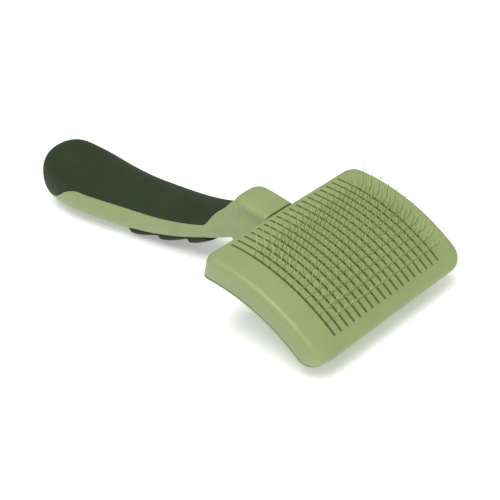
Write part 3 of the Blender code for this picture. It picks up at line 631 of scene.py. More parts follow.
def face_shell():
    """Curved face with lipped slots and a rolled outer edge, and its skirt."""
    bm = bmesh.new()
    quarter = [pi / 2 * step / SLOT_LIP_STEPS for step in range(SLOT_LIP_STEPS + 1)]
    for row in slot_rows():
        rings = [cell_ring(row, 0.0)]
        rings += [slot_ring(row, SLOT_LIP * (1 - sin(a)), SLOT_LIP * (1 - cos(a))) for a in quarter]
        rings += [slot_ring(row, 0.0, WALL), cell_ring(row, WALL)]
        skin(bm, [[bent(*point) for point in ring] for ring in rings])
    rings = [border_ring(EDGE_ROUND, 0.0, share) for share in (0.0, 0.4, 0.75)]
    for step in range(EDGE_STEPS + 1):
        angle = pi / 2 * step / EDGE_STEPS
        rings.append(border_ring(EDGE_ROUND * (1 - sin(angle)), EDGE_ROUND * (1 - cos(angle))))
    fillet = WALL + INNER_FILLET
    for inset, depth in ((0.0, SKIRT_MIDDLE), (0.0, WALL_HEIGHT - LIP_BOTTOM), (0.1, WALL_HEIGHT - 0.1),
                         (LIP_BOTTOM, WALL_HEIGHT), (WALL - SKIRT_SOFTEN, WALL_HEIGHT),
                         (WALL, WALL_HEIGHT - SKIRT_SOFTEN), (WALL, fillet), (WALL + 0.25, WALL + 0.25),
                         (fillet, WALL)):
        rings.append(border_ring(inset, depth))
    rings += [border_ring(fillet, WALL, share) for share in (0.6, 0.0)]
    skin(bm, [[bent(*point) for point in ring] for ring in rings])
    return to_object(bm, "face_shell", 50.0)


# ------------------------ rear cover
def head_outline(inset):
    return rounded_rectangle(-REAR_ARC + inset, FRONT_ARC - inset, -HEAD_HALF_WIDTH + inset,
                             HEAD_HALF_WIDTH - inset, HEAD_FRONT_CORNER - inset,
                             HEAD_REAR_CORNER - inset, side_steps=24)


def cover_rim(inset, lift=0.0):
    return [bent(u, v, WALL_HEIGHT + GAP + lift) for u, v in head_outline(inset)]


def cover_back(inset, z):
    outline = rounded_rectangle(COVER_REAR_X + inset, COVER_FRONT_X - inset,
                                -COVER_HALF_WIDTH + inset, COVER_HALF_WIDTH - inset,
                                COVER_CORNER - inset, side_steps=24)
    return [Vector((x, y, z)) for x, y in outline]


def between(first, second, amount):
    return [a.lerp(b, amount) for a, b in zip(first, second)]


def curve_between(start, bend, end, amount):
    return between(between(start, bend, amount), between(bend, end, amount), amount)


def rear_cover():
    """Dished back with filleted edges, screw recesses and the lever opening."""
    rim, back = cover_rim(0.0, 0.3), cover_back(0.0, COVER_BACK_Z)
    bottom = cover_back(COVER_FILLET, COVER_BACK_Z)
    shoulder = between(rim, back, COVER_SHOULDER)
    inside = cover_back(COVER_WALL, COVER_FLOOR_Z)
    middle = COVER_CORNER - 1.0
    rings = [between(inside, cover_back(middle, COVER_FLOOR_Z), 0.6), inside,
             cover_rim(COVER_WALL, COVER_RIM_SOFTEN), cover_rim(COVER_WALL - COVER_RIM_SOFTEN),
             cover_rim(0.3), cover_rim(0.08, 0.1), rim]
    rings += [between(rim, back, share) for share in (0.2, 0.4, 0.6)]
    rings += [curve_between(shoulder, back, bottom, step / COVER_FILLET_STEPS)
              for step in range(COVER_FILLET_STEPS + 1)]
    rings += [between(bottom, cover_back(middle, COVER_BACK_Z), share) for share in (0.5, 1.0)]
    cover = to_object(loft(rings), "rear_cover_skin")
    for x, y in post_spots():
        recess = COVER_BACK_Z + SCREW_HEAD + 0.2
        wide = SCREW_HEAD_RADIUS + GAP
        flared = wide + SCREW_RECESS_FLARE
        profile = ((0, COVER_BACK_Z - 1), (flared, COVER_BACK_Z - 1), (wide, COVER_BACK_Z + 0.35),
                   (wide, recess), (SCREW_RADIUS + GAP, recess),
                   (SCREW_RADIUS + GAP, COVER_FLOOR_Z + 1), (0, COVER_FLOOR_Z + 1))
        combine(cover, to_object(turned(profile, (x, y)), "recess"), "DIFFERENCE")
    half = LEVER_HALF_THICKNESS + LEVER_OPENING_GAP
    opening = block(*LEVER_OPENING_X, -half, half, COVER_FLOOR_Z + 0.05, LEVER_OPENING_TOP)
    combine(cover, to_object(opening, "opening"), "DIFFERENCE")
    shade(cover.data)
    return cover


def screw(number, x, y):
    """Pan-head screw with a cross recess."""
    bottom = COVER_BACK_Z + 0.1
    under = COVER_BACK_Z + SCREW_HEAD
    tip = COVER_FLOOR_Z + POST_FOOT - 0.4
    head = [(SCREW_HEAD_RADIUS * sin(a), under - (under - bottom) * cos(a) ** 0.6)
            for a in [radians(angle) for angle in (0, 15, 30, 45, 60, 75, 85)]]
    head.append((SCREW_HEAD_RADIUS, under - 0.05))
    profile = [*head, (SCREW_HEAD_RADIUS - 0.05, under), (SCREW_RADIUS, under),
               (SCREW_RADIUS, tip - 0.2), (SCREW_RADIUS - 0.2, tip), (0, tip)]
    item = to_object(turned(profile, (x, y)), "screw_%d" % number)
    for a, b in ((CROSS_LENGTH, CROSS_WIDTH), (CROSS_WIDTH, CROSS_LENGTH)):
        cutter = block(x - a, x + a, y - b, y + b, bottom - 0.5, bottom + CROSS_DEPTH)
        combine(item, to_object(cutter, "cross"), "DIFFERENCE")
    shade(item.data)
    return item


def post(number, x, y):
    """Guide post with a foot, a screw hole from below and rounded edges."""
    foot = COVER_FLOOR_Z + 0.1
    top = inside_depth(FACE_RADIUS - WALL, x) - 0.5
    bore = SCREW_RADIUS + 0.25
    profile = ((0, foot + POST_FOOT - 0.2), (bore, foot + POST_FOOT - 0.2), (bore, foot),
               (POST_FOOT_RADIUS, foot), (POST_FOOT_RADIUS, foot + POST_FOOT - 0.15),
               (POST_FOOT_RADIUS - 0.15, foot + POST_FOOT), (POST_RADIUS + 0.2, foot + POST_FOOT),
               (POST_RADIUS, foot + POST_FOOT + 0.2), (POST_RADIUS, top - 0.4),
               (POST_RADIUS - 0.12, top - 0.12), (POST_RADIUS - 0.4, top), (0, top))
    return to_object(turned(profile, (x, y)), "post_%d" % number)


def spring(number, x, y):
    """Round-wire conical spring, with the heights of its two ends."""
    low = COVER_FLOOR_Z + SPRING_WIRE + SPRING_SEAT
    high = inside_depth(CARRIER_BOTTOM_RADIUS, abs(x) + SPRING_TOP_RADIUS) - SPRING_WIRE - SPRING_SEAT
    steps = SPRING_STEPS * SPRING_TURNS
    rings = []
    for step in range(steps + 1):
        angle = 2 * pi * step / SPRING_STEPS
        share = step / steps
        radius = SPRING_BASE_RADIUS + (SPRING_TOP_RADIUS - SPRING_BASE_RADIUS) * share
        centre = Vector((x + radius * cos(angle), y + radius * sin(angle), low + (high - low) * share))
        outward = Vector((cos(angle), sin(angle), 0))
        ring = []
        for side in range(SPRING_SIDES):
            turn = 2 * pi * side / SPRING_SIDES
            ring.append(centre + SPRING_WIRE * (outward * cos(turn) + Vector((0, 0, 1)) * sin(turn)))
        rings.append(ring)
    return to_object(loft(rings), "spring_%d" % number), low, high


# ------------------------ pins and carrier
def pin_row(number, row):
    """Bent round-wire pins on a thin strip bent to the face."""
    bm = bmesh.new()
    spacing = (PIN_LAST_ANGLE - PIN_FIRST_ANGLE) / (PINS_PER_COMB - 1)
    for index in range(PINS_PER_COMB):
        angle = radians(PIN_FIRST_ANGLE + spacing * index)
        face = curved_point(FACE_RADIUS, angle, row)
        lean = direction(angle + radians(SHANK_LEAN))
        hook = direction(angle + radians(HOOK_LEAN))
        root = face - lean * (FACE_RADIUS - SPINE_TOP_RADIUS + 0.2) / cos(radians(SHANK_LEAN))
        bend = face + lean * PIN_SHANK
        before, after = bend - lean * PIN_BEND, bend + hook * PIN_BEND
        path = [root, face]
        for step in range(PIN_BEND_STEPS + 1):
            t = step / PIN_BEND_STEPS
            path.append(before.lerp(bend, t).lerp(bend.lerp(after, t), t))
        path.append(bend + hook * (PIN_HOOK - PIN_RADIUS))
        tube(bm, path, PIN_RADIUS, PIN_SIDES)
    middle = SPINE_TOP_RADIUS - SPINE_HEIGHT / 2
    first = radians(PIN_FIRST_ANGLE - SPINE_OVERHANG[0])
    last = radians(PIN_LAST_ANGLE + SPINE_OVERHANG[1])
    arc = [curved_point(middle, first + (last - first) * step / SPINE_STEPS, row)
           for step in range(SPINE_STEPS + 1)]
    tube(bm, arc, SPINE_HEIGHT / 2, PIN_SIDES, SPINE_FLAT)
    bmesh.ops.recalc_face_normals(bm, faces=bm.faces)
    return to_object(bm, "pin_row_%02d" % number, 60.0)


def carrier_plate():
    """Curved plate with rounded edges, post holes, lever notch and slotted lugs."""
    rear = radians(CARRIER_REAR_ANGLE) * FACE_RADIUS
    front = radians(CARRIER_FRONT_ANGLE) * FACE_RADIUS
    top = FACE_RADIUS - CARRIER_TOP_RADIUS
    low = top + CARRIER_THICKNESS
    edge = CARRIER_EDGE
    steps = ((2.0, top), (edge, top), (0.3 * edge, top + 0.3 * edge), (0, top + edge), (0, low - edge),
             (0.3 * edge, low - 0.3 * edge), (edge, low), (2.0, low))
    rings = []
    for inset, depth in steps:
        outline = rounded_rectangle(rear + inset, front - inset, -CARRIER_HALF_WIDTH + inset,
                                    CARRIER_HALF_WIDTH - inset, CARRIER_CORNER - inset)
        rings.append([Vector((u, v, depth)) for u, v in outline])
    bm = loft(rings)
    for step in range(1, CARRIER_STRIPS):
        arc = rear + (front - rear) * step / CARRIER_STRIPS
        geometry = bm.verts[:] + bm.edges[:] + bm.faces[:]
        bmesh.ops.bisect_plane(bm, geom=geometry, dist=1e-5, plane_co=(arc, 0, 0), plane_no=(1, 0, 0))
    for vert in bm.verts:
        angle = vert.co.x / FACE_RADIUS
        vert.co = curved_point(FACE_RADIUS - vert.co.z, angle, vert.co.y)
    plate = to_object(bm, "carrier_plate")
    for side in (-1, 1):
        y0, y1 = sorted((side * LUG_INNER, side * LUG_OUTER))
        combine(plate, to_object(side_plate(lug_outline(), y0, y1), "lug"), "UNION")
    for x, y in post_spots():
        hole = ((0, -12), (POST_RADIUS + RUNNING, -12), (POST_RADIUS + RUNNING, 0), (0, 0))
        combine(plate, to_object(turned(hole, (x, y)), "hole"), "DIFFERENCE")
    reach = LIFT_PIN_RADIUS + RUNNING
    slot = link_outline((LIFT_PIN_X, LIFT_PIN_Z), reach, (LIFT_PIN_X_LOW, LIFT_PIN_Z), reach)
    combine(plate, to_object(side_plate(slot, -LUG_OUTER - 1, LUG_OUTER + 1), "slot"), "DIFFERENCE")
    half = LEVER_HALF_THICKNESS + NOTCH_GAP
    notch = block(*NOTCH_X, -half, half, NOTCH_BOTTOM, 0)
    combine(plate, to_object(notch, "notch"), "DIFFERENCE")
    shade(plate.data)
    return plate


def lug_outline():
    reach = LIFT_PIN_RADIUS + RUNNING + LUG_WALL
    low = LIFT_PIN_Z - reach
    x0 = LIFT_PIN_X - reach
    x1 = LIFT_PIN_X_LOW + reach
    high = inside_depth(CARRIER_BOTTOM_RADIUS, x1) + LUG_ROOT
    return ((x0, high), (x0, low + LUG_CHAMFER), (x0 + LUG_CHAMFER, low), (x1 - LUG_CHAMFER, low),
            (x1, low + LUG_CHAMFER), (x1, high))


# ------------------------ neck and button
def button_frame():
    """Axes of the button: along the neck, across it and into it."""
    inward = direction(-radians(BUTTON_SLOPE))
    along = Vector((inward.z, 0, -inward.x))
    matrix = Matrix((along, Vector((0, 1, 0)), inward)).transposed().to_4x4()
    matrix.translation = Vector((BUTTON_SPOT[0], 0, BUTTON_SPOT[1]))
    return matrix


def button_ring(half_length, half_width, corner, height, rib=0.0):
    """Ring of the button in its own axes; rib raises thumb ribs on the crown."""
    outline = rounded_rectangle(-half_length, half_length, -half_width, half_width, corner,
                                segments=8, side_steps=12)
    spot = button_frame()
    ring = []
    for x, y in outline:
        wave = 0.5 + 0.5 * cos(2 * pi * x / RIB_PITCH)
        fade = ease(BUTTON_HALF_LENGTH - 1.3 - abs(x), 0, 1.0)
        fade *= ease(BUTTON_HALF_WIDTH - 1.0 - abs(y), 0, 0.9)
        ring.append(spot @ Vector((x, y, height - rib * wave * wave * fade)))
    return ring


def push_button():
    """Thumb button with a domed ribbed crown, a stop flange and a nose."""
    length, width, corner = BUTTON_HALF_LENGTH, BUTTON_HALF_WIDTH, BUTTON_CORNER
    rings = []
    for step in range(1, BUTTON_CROWN_STEPS):
        share = step / BUTTON_CROWN_STEPS
        height = -BUTTON_PROUD + BUTTON_DOME * share ** 2
        rings.append(button_ring((length - BUTTON_ROUND) * share, (width - BUTTON_ROUND) * share,
                                 (corner - BUTTON_ROUND) * share, height, RIB_HEIGHT))
    for angle in (0, 22, 45, 67, 90):
        inset = BUTTON_ROUND * (1 - sin(radians(angle)))
        fall = BUTTON_ROUND * (1 - cos(radians(angle)))
        rings.append(button_ring(length - inset, width - inset, corner - inset,
                                 -BUTTON_PROUD + BUTTON_DOME + fall))
    under, top = BUTTON_FLOOR, BUTTON_FLOOR + BUTTON_FLANGE
    flange = (length + 0.9, width + 0.8, corner)
    rings += [button_ring(length, width, corner, under), button_ring(*flange, under),
              button_ring(*flange, top), button_ring(2.2, 3.0, 0.8, top),
              button_ring(1.6, 2.6, 0.8, BUTTON_NOSE - 0.2), button_ring(1.4, 2.4, 0.7, BUTTON_NOSE)]
    return to_object(loft(rings), "push_button")


# ------------------------ handle
def handle_axis(s):
    """Centre of the handle's section and its upward direction, at a length along the handle."""
    start_slope = radians(HANDLE_START_SLOPE)
    slope = start_slope - s / HANDLE_BEND_RADIUS
    x = HANDLE_START[0] - HANDLE_BEND_RADIUS * (sin(start_slope) - sin(slope))
    z = HANDLE_START[1] - HANDLE_BEND_RADIUS * (cos(slope) - cos(start_slope))
    return Vector((x, 0, z)), Vector((-sin(slope), 0, cos(slope)))


def handle_half_width(s):
    return HANDLE_HALF_WIDTH + sum(gain * ease(s, *span) for gain, *span in HANDLE_WIDTH_STEPS)


def handle_half_depth(s):
    return HANDLE_HALF_DEPTH + sum(gain * ease(s, *span) for gain, *span in HANDLE_DEPTH_STEPS)


def handle_belly(s):
    rise_from, rise_to, fall_from, fall_to = BELLY_SPAN
    return BELLY * ease(s, rise_from, rise_to) * (1 - ease(s, fall_from, fall_to))


def end_scale(s):
    t = max(s - (HANDLE_LENGTH - END_ROUND), 0.0) / END_ROUND
    return sqrt(max(1 - t ** END_POWER, 0.0))


def section_point(s, angle, offset, scale=None):
    """Point of the handle section at an angle in degrees, pushed outward by an offset."""
    centre, up = handle_axis(s)
    scale = end_scale(s) if scale is None else scale
    c, d = cos(radians(angle)), sin(radians(angle))
    wide = handle_half_width(s) * scale + offset
    deep = handle_half_depth(s) * scale + offset + (handle_belly(s) if d < 0 else 0)
    power = 2 / SECTION_POWER
    y = wide * (abs(c) ** power) * (1 if c >= 0 else -1)
    rise = deep * (abs(d) ** power) * (1 if d >= 0 else -1)
    return centre + Vector((0, y, 0)) + up * rise


def grip_edge(s):
    """Angle of the pad's edge: a nose at the neck, rising sides, then the wrap round the end."""
    side = GRIP_FRONT_EDGE_ANGLE + (GRIP_EDGE_ANGLE - GRIP_FRONT_EDGE_ANGLE) * ease(s, *GRIP_SIDE_SPAN)
    nose = (GRIP_NOSE_ANGLE - side) * (1 - ease(s, GRIP_FRONT, GRIP_FRONT + GRIP_NOSE_LENGTH))
    wrap = (GRIP_END_ANGLE - GRIP_EDGE_ANGLE) * ease(s, *GRIP_WRAP_SPAN)
    return side + nose + wrap


def grip_inset(s):
    return min(GRIP_THICKNESS, GRIP_SHARE * handle_half_depth(s) * end_scale(s))


def handle_stations(count=70):
    start, end = HANDLE_FRONT, HANDLE_LENGTH - END_ROUND
    body = [start + (end - start) * step / count for step in range(count + 1)]
    cap = [HANDLE_LENGTH - END_ROUND * (1 - sin(pi / 2 * step / END_STEPS)) for step in range(1, END_STEPS)]
    return body + cap + [HANDLE_LENGTH - END_TIP]


def sweep_angles(start, end, count):
    return [start + (end - start) * step / count for step in range(count + 1)]


def cap_outline(inset):
    return rounded_rectangle(CAP_REAR_X + inset, CAP_FRONT_X, -NECK_HALF_WIDTH + inset,
                             NECK_HALF_WIDTH - inset, CAP_FRONT_CORNER,
                             CAP_CORNER - CAP_CORNER_SHRINK * inset)


def crown_height(x):
    """Height of the deck's sloping top; x is a number or an array."""
    return CAP_CROWN_Z + CAP_SLOPE * (x - CAP_FRONT_X)


def cap_rings():
    """Raised deck of the neck with a soft round edge, reaching down into the neck."""
    rings = [[Vector((x, y, NECK_TOP_Z - CAP_REACH)) for x, y in cap_outline(0.0)]]
    for step in range(CAP_EDGE_STEPS + 1):
        angle = pi / 2 * step / CAP_EDGE_STEPS
        fall = CAP_EDGE_DROP * (1 - sin(angle))
        rings.append([Vector((x, y, crown_height(x) - fall))
                      for x, y in cap_outline(CAP_EDGE_INSET * (1 - cos(angle)))])
    return rings


def neck_weight(points):
    """Where the neck runs into the handle and the deck rolls over; further forward underneath."""
    x, z = points[:, 0], points[:, 2]
    under = ease(-z, 25.0, 29.0)
    return 0.5 * ease(x, -68, -58) * (1 - ease(x, -46.5 + 9.0 * under, -40 + 6.0 * under))


def body_blank():
    """Handle, neck and deck as one moulding with flowing junctions, before it is hollowed."""
    bm = loft([[section_point(s, angle, 0.0) for angle in sweep_angles(*SECTION_SWEEP)]
               for s in handle_stations()])
    item = to_object(bm, "neck_and_handle")
    neck = side_plate(NECK_PROFILE, -NECK_HALF_WIDTH, NECK_HALF_WIDTH)
    long_edges = [edge for edge in neck.edges if edge.verts[0].co.y * edge.verts[1].co.y > 0
                  and min(vert.co.z for vert in edge.verts) < NECK_TOP_Z - 0.1
                  and max(vert.co.x for vert in edge.verts) < NECK_SHOULDER_X]
    bmesh.ops.bevel(neck, geom=long_edges, offset=NECK_SOFTEN, segments=3, profile=0.5, affect="EDGES",
                    clamp_overlap=True)
    combine(item, to_object(neck, "neck"), "UNION", "EXACT")
    combine(item, to_object(loft(cap_rings()), "deck"), "UNION", "EXACT")
    remesh(item, BODY_VOXEL)
    relax(item, lambda points: np.full(len(points), 0.5), 4, 1.02)
    relax(item, neck_weight, NECK_FLOW_ROUNDS)
    dimple(item)
    relax(item, lambda points: np.full(len(points), 0.4), 2)
    return item


def dimple(item):
    """Shallow hollow in both sides of the neck, sharpest under the deck's edge."""
    points = read_points(item.data)
    x, y, z = points.T
    under = crown_height(x) - CAP_EDGE_DROP - z
    amount = ease(x, -46.5, -42.5) * ease(under, 0.0, 1.2) * (1 - ease(under, 4.0, 10.0))
    points[:, 1] -= np.sign(y) * NECK_DIMPLE * amount * ease(np.abs(y), 6.0, 8.0)
    write_points(item.data, points)


def grip_region(lower, inward, front):
    """Everything above the pad's edge line, outside a core; lower drops the line a little."""
    rings = []
    for station in handle_stations(60):
        s = max(station, front)
        centre, up = handle_axis(s)
        edge = (section_point(s, grip_edge(s), 0.0, 1.0) - centre).dot(up) - lower
        top = handle_half_depth(s) + PAD_ROOM
        side = handle_half_width(s) + PAD_ROOM
        rings.append([centre + up * rise + Vector((0, y, 0))
                      for y, rise in ((-side, edge), (side, edge), (side, top), (-side, top))])
    region = to_object(loft(rings), "grip_region")
    core = [[section_point(s, angle, -grip_inset(s) - inward) for angle in sweep_angles(*SECTION_SWEEP)]
            for s in handle_stations() if s < HANDLE_LENGTH - GRIP_CORE_END]
    return combine(region, to_object(loft(core), "core"), "DIFFERENCE")


def neck_and_handle(blank):
    """The moulding with its pad recess, hollow neck, pin seats and button hole."""
    combine(blank, grip_region(GRIP_SEAM, GAP, GRIP_FRONT - GAP), "DIFFERENCE")
    half, low = CAVITY_FLOOR_HALF, CAVITY_FLOOR_Z
    spots = [button_frame() @ Vector((along, 0, height))
             for along, height in ((half, low), (-half, low), (-half, low + CAVITY_RISE))]
    cavity = [*CAVITY_FRONT, *[(spot.x, spot.z) for spot in spots], CAVITY_REAR,
              *[(x, NECK_TOP_Z) for x in CAVITY_TOP_X]]
    cutters = [side_plate(cavity, -NECK_CAVITY_HALF, NECK_CAVITY_HALF),
               side_plate(circle(*PIVOT, PIVOT_PIN_RADIUS + 0.1), -PIVOT_SEAT_HALF, PIVOT_SEAT_HALF),
               loft([button_ring(BUTTON_HALF_LENGTH + GAP + flare, BUTTON_HALF_WIDTH + GAP + flare,
                                 BUTTON_HOLE_CORNER + flare, height)
                     for flare, height in ((BUTTON_HOLE_FLARE, -4.0), (0.0, -0.6), (0.0, 3.0))])]
    for cutter in cutters:
        combine(blank, to_object(cutter, "cutter"), "DIFFERENCE")
    shade(blank.data, BODY_SHARP)
    return blank


def grip_cover(blank):
    """Soft pad: the blank's own skin over the upper side, with softened edges."""
    pad = linked("grip_cover", blank.data.copy())
    combine(pad, grip_region(-PAD_SHORT, 0.0, GRIP_FRONT), "INTERSECT")
    remesh(pad, PAD_VOXEL)
    relax(pad, lambda points: np.full(len(points), 0.5), 2)
    return pad


def ridge_height(t):
    """Saw-tooth: rises slowly toward the hand and drops steeply at the end."""
    rise = RIDGE_LOW + (RIDGE_HIGH - RIDGE_LOW) * ease(t, 0.0, RIDGE_PEAK)
    return rise - (RIDGE_HIGH - RIDGE_LOW) * ease(t, RIDGE_DROP, 1.0) * RIDGE_FALL


def thumb_ridges():
    """Soft saw-tooth pad on the underside."""
    stations = []
    ramp = [step / RIDGE_RAMP_STEPS for step in range(RIDGE_RAMP_STEPS)]
    shares = [t for t in ramp if t < RIDGE_PEAK] + list(RIDGE_DROP_SHARES)
    for tooth in range(RIDGE_COUNT):
        start = RIDGE_START + tooth * RIDGE_PITCH
        first = 0.0 if tooth else RIDGE_FIRST
        stations += [(start + t * RIDGE_PITCH, ridge_height(t)) for t in shares if t > first]
    front = RIDGE_START + RIDGE_FIRST * RIDGE_PITCH - RIDGE_TAPER
    end = RIDGE_START + RIDGE_COUNT * RIDGE_PITCH + RIDGE_END
    edge = RIDGE_LOW * 0.4
    stations = [(front, edge), *stations, (end, RIDGE_LOW), (end + RIDGE_TAPER, edge)]
    rings = []
    for s, height in stations:
        inner = [section_point(s, angle, GAP)
                 for angle in sweep_angles(-90 - RIDGE_HALF_SWEEP, -90 + RIDGE_HALF_SWEEP, RIDGE_ACROSS)]
        outer = []
        for angle in sweep_angles(-91 + RIDGE_HALF_SWEEP, -89 - RIDGE_HALF_SWEEP, RIDGE_ACROSS):
            side = abs(angle + 90) / (RIDGE_HALF_SWEEP - 1)
            fall = side ** RIDGE_SIDE_POWER * RIDGE_SIDE_FALL
            outer.append(section_point(s, angle, GAP + height * (1 - fall)))
        rings.append(inner + outer)
    return to_object(loft(rings), "thumb_ridges", 50.0)


# ------------------------ materials
ROUGH_SPREAD = 0.07


def add(tree, kind, inputs=None, **settings):
    """A shader node; each input takes a value or another node's socket."""
    item = tree.nodes.new(kind)
    for key, value in settings.items():
        setattr(item, key, value)
    for key, value in (inputs or {}).items():
        if isinstance(value, bpy.types.NodeSocket):
            tree.links.new(value, item.inputs[key])
        else:
            item.inputs[key].default_value = value
    return item


def noise(tree, vector, scale, detail=3.0, roughness=0.5):
    return add(tree, "ShaderNodeTexNoise", {"Vector": vector, "Scale": scale, "Detail": detail,
                                            "Roughness": roughness}).outputs["Fac"]


def remap(tree, value, low, high, to_low, to_high):
    return add(tree, "ShaderNodeMapRange", {"Value": value, "From Min": low, "From Max": high,
                                            "To Min": to_low, "To Max": to_high}).outputs["Result"]


def mix_colour(tree, factor, first, second):
    item = tree.nodes.new("ShaderNodeMix")
    item.data_type = "RGBA"
    sockets = (item.inputs["Factor"], item.inputs[6], item.inputs[7])
    for socket, value in zip(sockets, (factor, first, second)):
        if isinstance(value, bpy.types.NodeSocket):
            tree.links.new(value, socket)
        else:
            socket.default_value = value
    return item.outputs[2]


def tinted(colour, share):
    return tuple(min(channel * share, 1.0) for channel in colour) + (1.0,)


def surface(name, colour, rough, metal=0.0, grain=1400.0, grain_depth=0.00002, blotch=0.05,
            wear=0.12, scuff=0.08, speck=0.0, specular=0.5):
    """Moulded or metal finish: tone drift, fine grain, scuffs and rubbed edges."""
    made = bpy.data.materials.new(name)
    made.use_nodes = True
    tree = made.node_tree
    tree.nodes.clear()
    where = add(tree, "ShaderNodeTexCoord").outputs["Object"]
    drift = noise(tree, where, 55.0, 4.0, 0.55)
    tone = mix_colour(tree, remap(tree, drift, 0.3, 0.7, 0.0, 1.0), tinted(colour, 1 - blotch),
                      tinted(colour, 1 + blotch))
    stretched = add(tree, "ShaderNodeMapping", {"Vector": where, "Scale": (60.0, 420.0, 900.0),
                                                "Rotation": (0.3, 0.5, 0.4)}).outputs["Vector"]
    scuffs = remap(tree, noise(tree, stretched, 1.0, 2.0, 0.4), 0.62, 0.74, 0.0, scuff)
    tone = mix_colour(tree, scuffs, tone, tinted(colour, 1.5))
    bend = add(tree, "ShaderNodeNewGeometry").outputs["Pointiness"]
    rubbed = remap(tree, bend, 0.52, 0.60, 0.0, wear)
    tone = mix_colour(tree, rubbed, tone, tinted(colour, 1.6))
    if speck:
        dust = remap(tree, noise(tree, where, 900.0, 1.0, 0.3), 0.70, 0.76, 0.0, speck)
        tone = mix_colour(tree, dust, tone, tinted(colour, 3.0))
    fine = noise(tree, where, grain, 2.0, 0.6)
    rough_drift = noise(tree, where, 160.0, 3.0, 0.6)
    rough_drift = remap(tree, rough_drift, 0.3, 0.7, rough - ROUGH_SPREAD, rough + ROUGH_SPREAD)
    roughness = add(tree, "ShaderNodeMath", {0: rough_drift, 1: scuffs}, operation="ADD").outputs[0]
    bump = add(tree, "ShaderNodeBump", {"Height": fine, "Strength": 1.0, "Distance": grain_depth})
    shader = add(tree, "ShaderNodeBsdfPrincipled", {
        "Base Color": tone, "Roughness": roughness, "Metallic": metal, "Normal": bump.outputs["Normal"],
        "Specular IOR Level": specular})
    output = add(tree, "ShaderNodeOutputMaterial", {"Surface": shader.outputs["BSDF"]})
    output.is_active_output = True
    return made


GREEN = surface("green_plastic", (0.221, 0.280, 0.109), 0.46, grain=1500.0, grain_depth=0.000012)
GREY = surface("grey_plastic", (0.180, 0.235, 0.068), 0.55, grain=1300.0)
DARK = surface("dark_plastic", (0.022, 0.035, 0.016), 0.42, grain=1600.0, grain_depth=0.000015)
RUBBER = surface("dark_rubber", (0.0180, 0.0315, 0.0110), 0.66, grain=2600.0, grain_depth=0.00004,
                 blotch=0.10, wear=0.10, scuff=0.08, speck=0.06, specular=0.20)
PIN_STEEL = surface("pin_steel", (0.37, 0.44, 0.185), 0.45, 0.7, 3000.0, 0.000004, 0.12, 0.2, 0.06)
SPRING_STEEL = surface("spring_steel", (0.50, 0.51, 0.52), 0.30, 1.0, 2500.0, 0.000005, 0.10)
ZINC = surface("zinc_steel", (0.56, 0.56, 0.53), 0.36, 1.0, 1800.0, 0.00001, 0.12)


# ------------------------ put it together
def build_head():
    place(face_shell(), GREEN, "housing", ["head_frame"])
    place(rear_cover(), GREEN, "housing", ["rear_cover"])
    for number, (x, y) in enumerate(post_spots(), 1):
        place(screw(number, x, y), ZINC, "housing", ["cover_screw_%d" % number])
        place(post(number, x, y), ZINC, "housing", ["guide_post_%d" % number])
        coil, low, high = spring(number, x, y)
        place(coil, SPRING_STEEL, "housing", ["return_spring_%d" % number])
        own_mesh(coil)


def build_pins():
    place(carrier_plate(), GREY, "pin_carriage", ["pin_carrier"])
    for number, row in enumerate(slot_rows(), 1):
        place(pin_row(number, row), PIN_STEEL, "pin_carriage", ["pin_comb_%02d" % number])


def build_handle():
    blank = body_blank()
    pad = grip_cover(blank)
    place(neck_and_handle(blank), GREEN, "housing", ["handle_body", "neck_cap"])
    place(pad, RUBBER, "housing", ["grip_pad"])
    place(thumb_ridges(), RUBBER, "housing", ["thumb_rest"])
    place(push_button(), DARK, "button", ["thumb_button"])


def dress_metal_parts():
    """CAD parts whose shape stays: small rounded edges and a worn metal finish."""
    for node, finish in (("lifter_lever", ZINC), ("pivot_pin", PIN_STEEL), ("lifter_pin", PIN_STEEL)):
        item = frame["nodes"][node]
        item.data.materials.clear()
        item.data.materials.append(finish)
        bevel = item.modifiers.new("edges", "BEVEL")
        bevel.width = 0.15 * MM
        bevel.segments = 2
        bevel.limit_method = "ANGLE"
        bevel.angle_limit = radians(40)


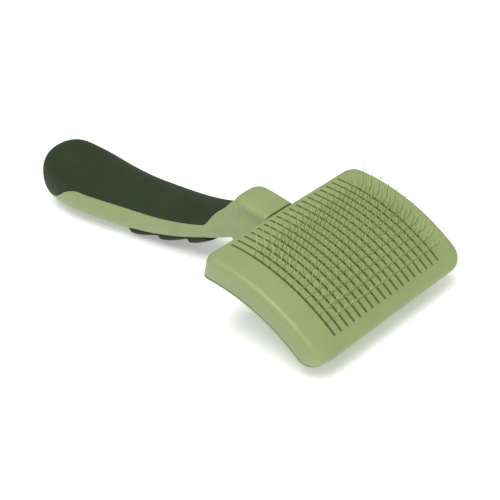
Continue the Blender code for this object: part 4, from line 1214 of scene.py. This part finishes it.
# ------------------------ floor, light and camera
def floor():
    bm = bmesh.new()
    bmesh.ops.create_grid(bm, x_segments=24, y_segments=24, size=FLOOR_HALF)
    mesh = bpy.data.meshes.new("floor")
    bm.to_mesh(mesh)
    bm.free()
    item = linked("floor", mesh)
    paint = surface("floor_paint", (0.90, 0.90, 0.90), 0.8, grain=300.0, blotch=0.01,
                    wear=0.0, scuff=0.0, specular=0.2)
    shader = paint.node_tree.nodes["Principled BSDF"]
    shader.inputs["Emission Color"].default_value = (1.0, 1.0, 1.0, 1.0)
    shader.inputs["Emission Strength"].default_value = FLOOR_GLOW
    mesh.materials.append(paint)


def soft_light(name, spot, size, power):
    lamp = bpy.data.lights.new(name, "AREA")
    lamp.shape = "DISK"
    lamp.size = size
    lamp.energy = power
    item = linked(name, lamp)
    item.location = spot
    item.rotation_mode = "QUATERNION"
    item.rotation_quaternion = (-Vector(spot)).to_track_quat("-Z", "Y")


def studio():
    world = bpy.data.worlds.new("studio")
    world.use_nodes = True
    background = world.node_tree.nodes["Background"]
    background.inputs["Color"].default_value = (1.0, 1.0, 1.0, 1.0)
    background.inputs["Strength"].default_value = SKY_STRENGTH
    bpy.context.scene.world = world
    soft_light("key", *KEY_LIGHT)
    soft_light("fill", *FILL_LIGHT)
    bpy.context.scene.view_settings.view_transform = "Standard"


def camera():
    """Long lens at the height and angle of a product shot, slightly rolled."""
    azimuth, elevation, roll = radians(CAMERA_AZIMUTH), radians(CAMERA_ELEVATION), radians(CAMERA_ROLL)
    back = Vector((sin(azimuth) * cos(elevation), -cos(azimuth) * cos(elevation), sin(elevation)))
    level = Vector((0, 0, 1)).cross(back).normalized()
    upright = back.cross(level)
    right = level * cos(roll) + upright * sin(roll)
    data = bpy.data.cameras.new("camera")
    data.lens = CAMERA_LENS
    data.sensor_width = SENSOR_WIDTH
    data.clip_start = 0.01
    item = linked("camera", data)
    matrix = Matrix((right, back.cross(right), back)).transposed().to_4x4()
    matrix.translation = HEAD.translation + Vector(CAMERA_FROM_HEAD)
    item.matrix_world = matrix
    bpy.context.scene.camera = item


build_head()
build_pins()
build_handle()
dress_metal_parts()
floor()
studio()
camera()
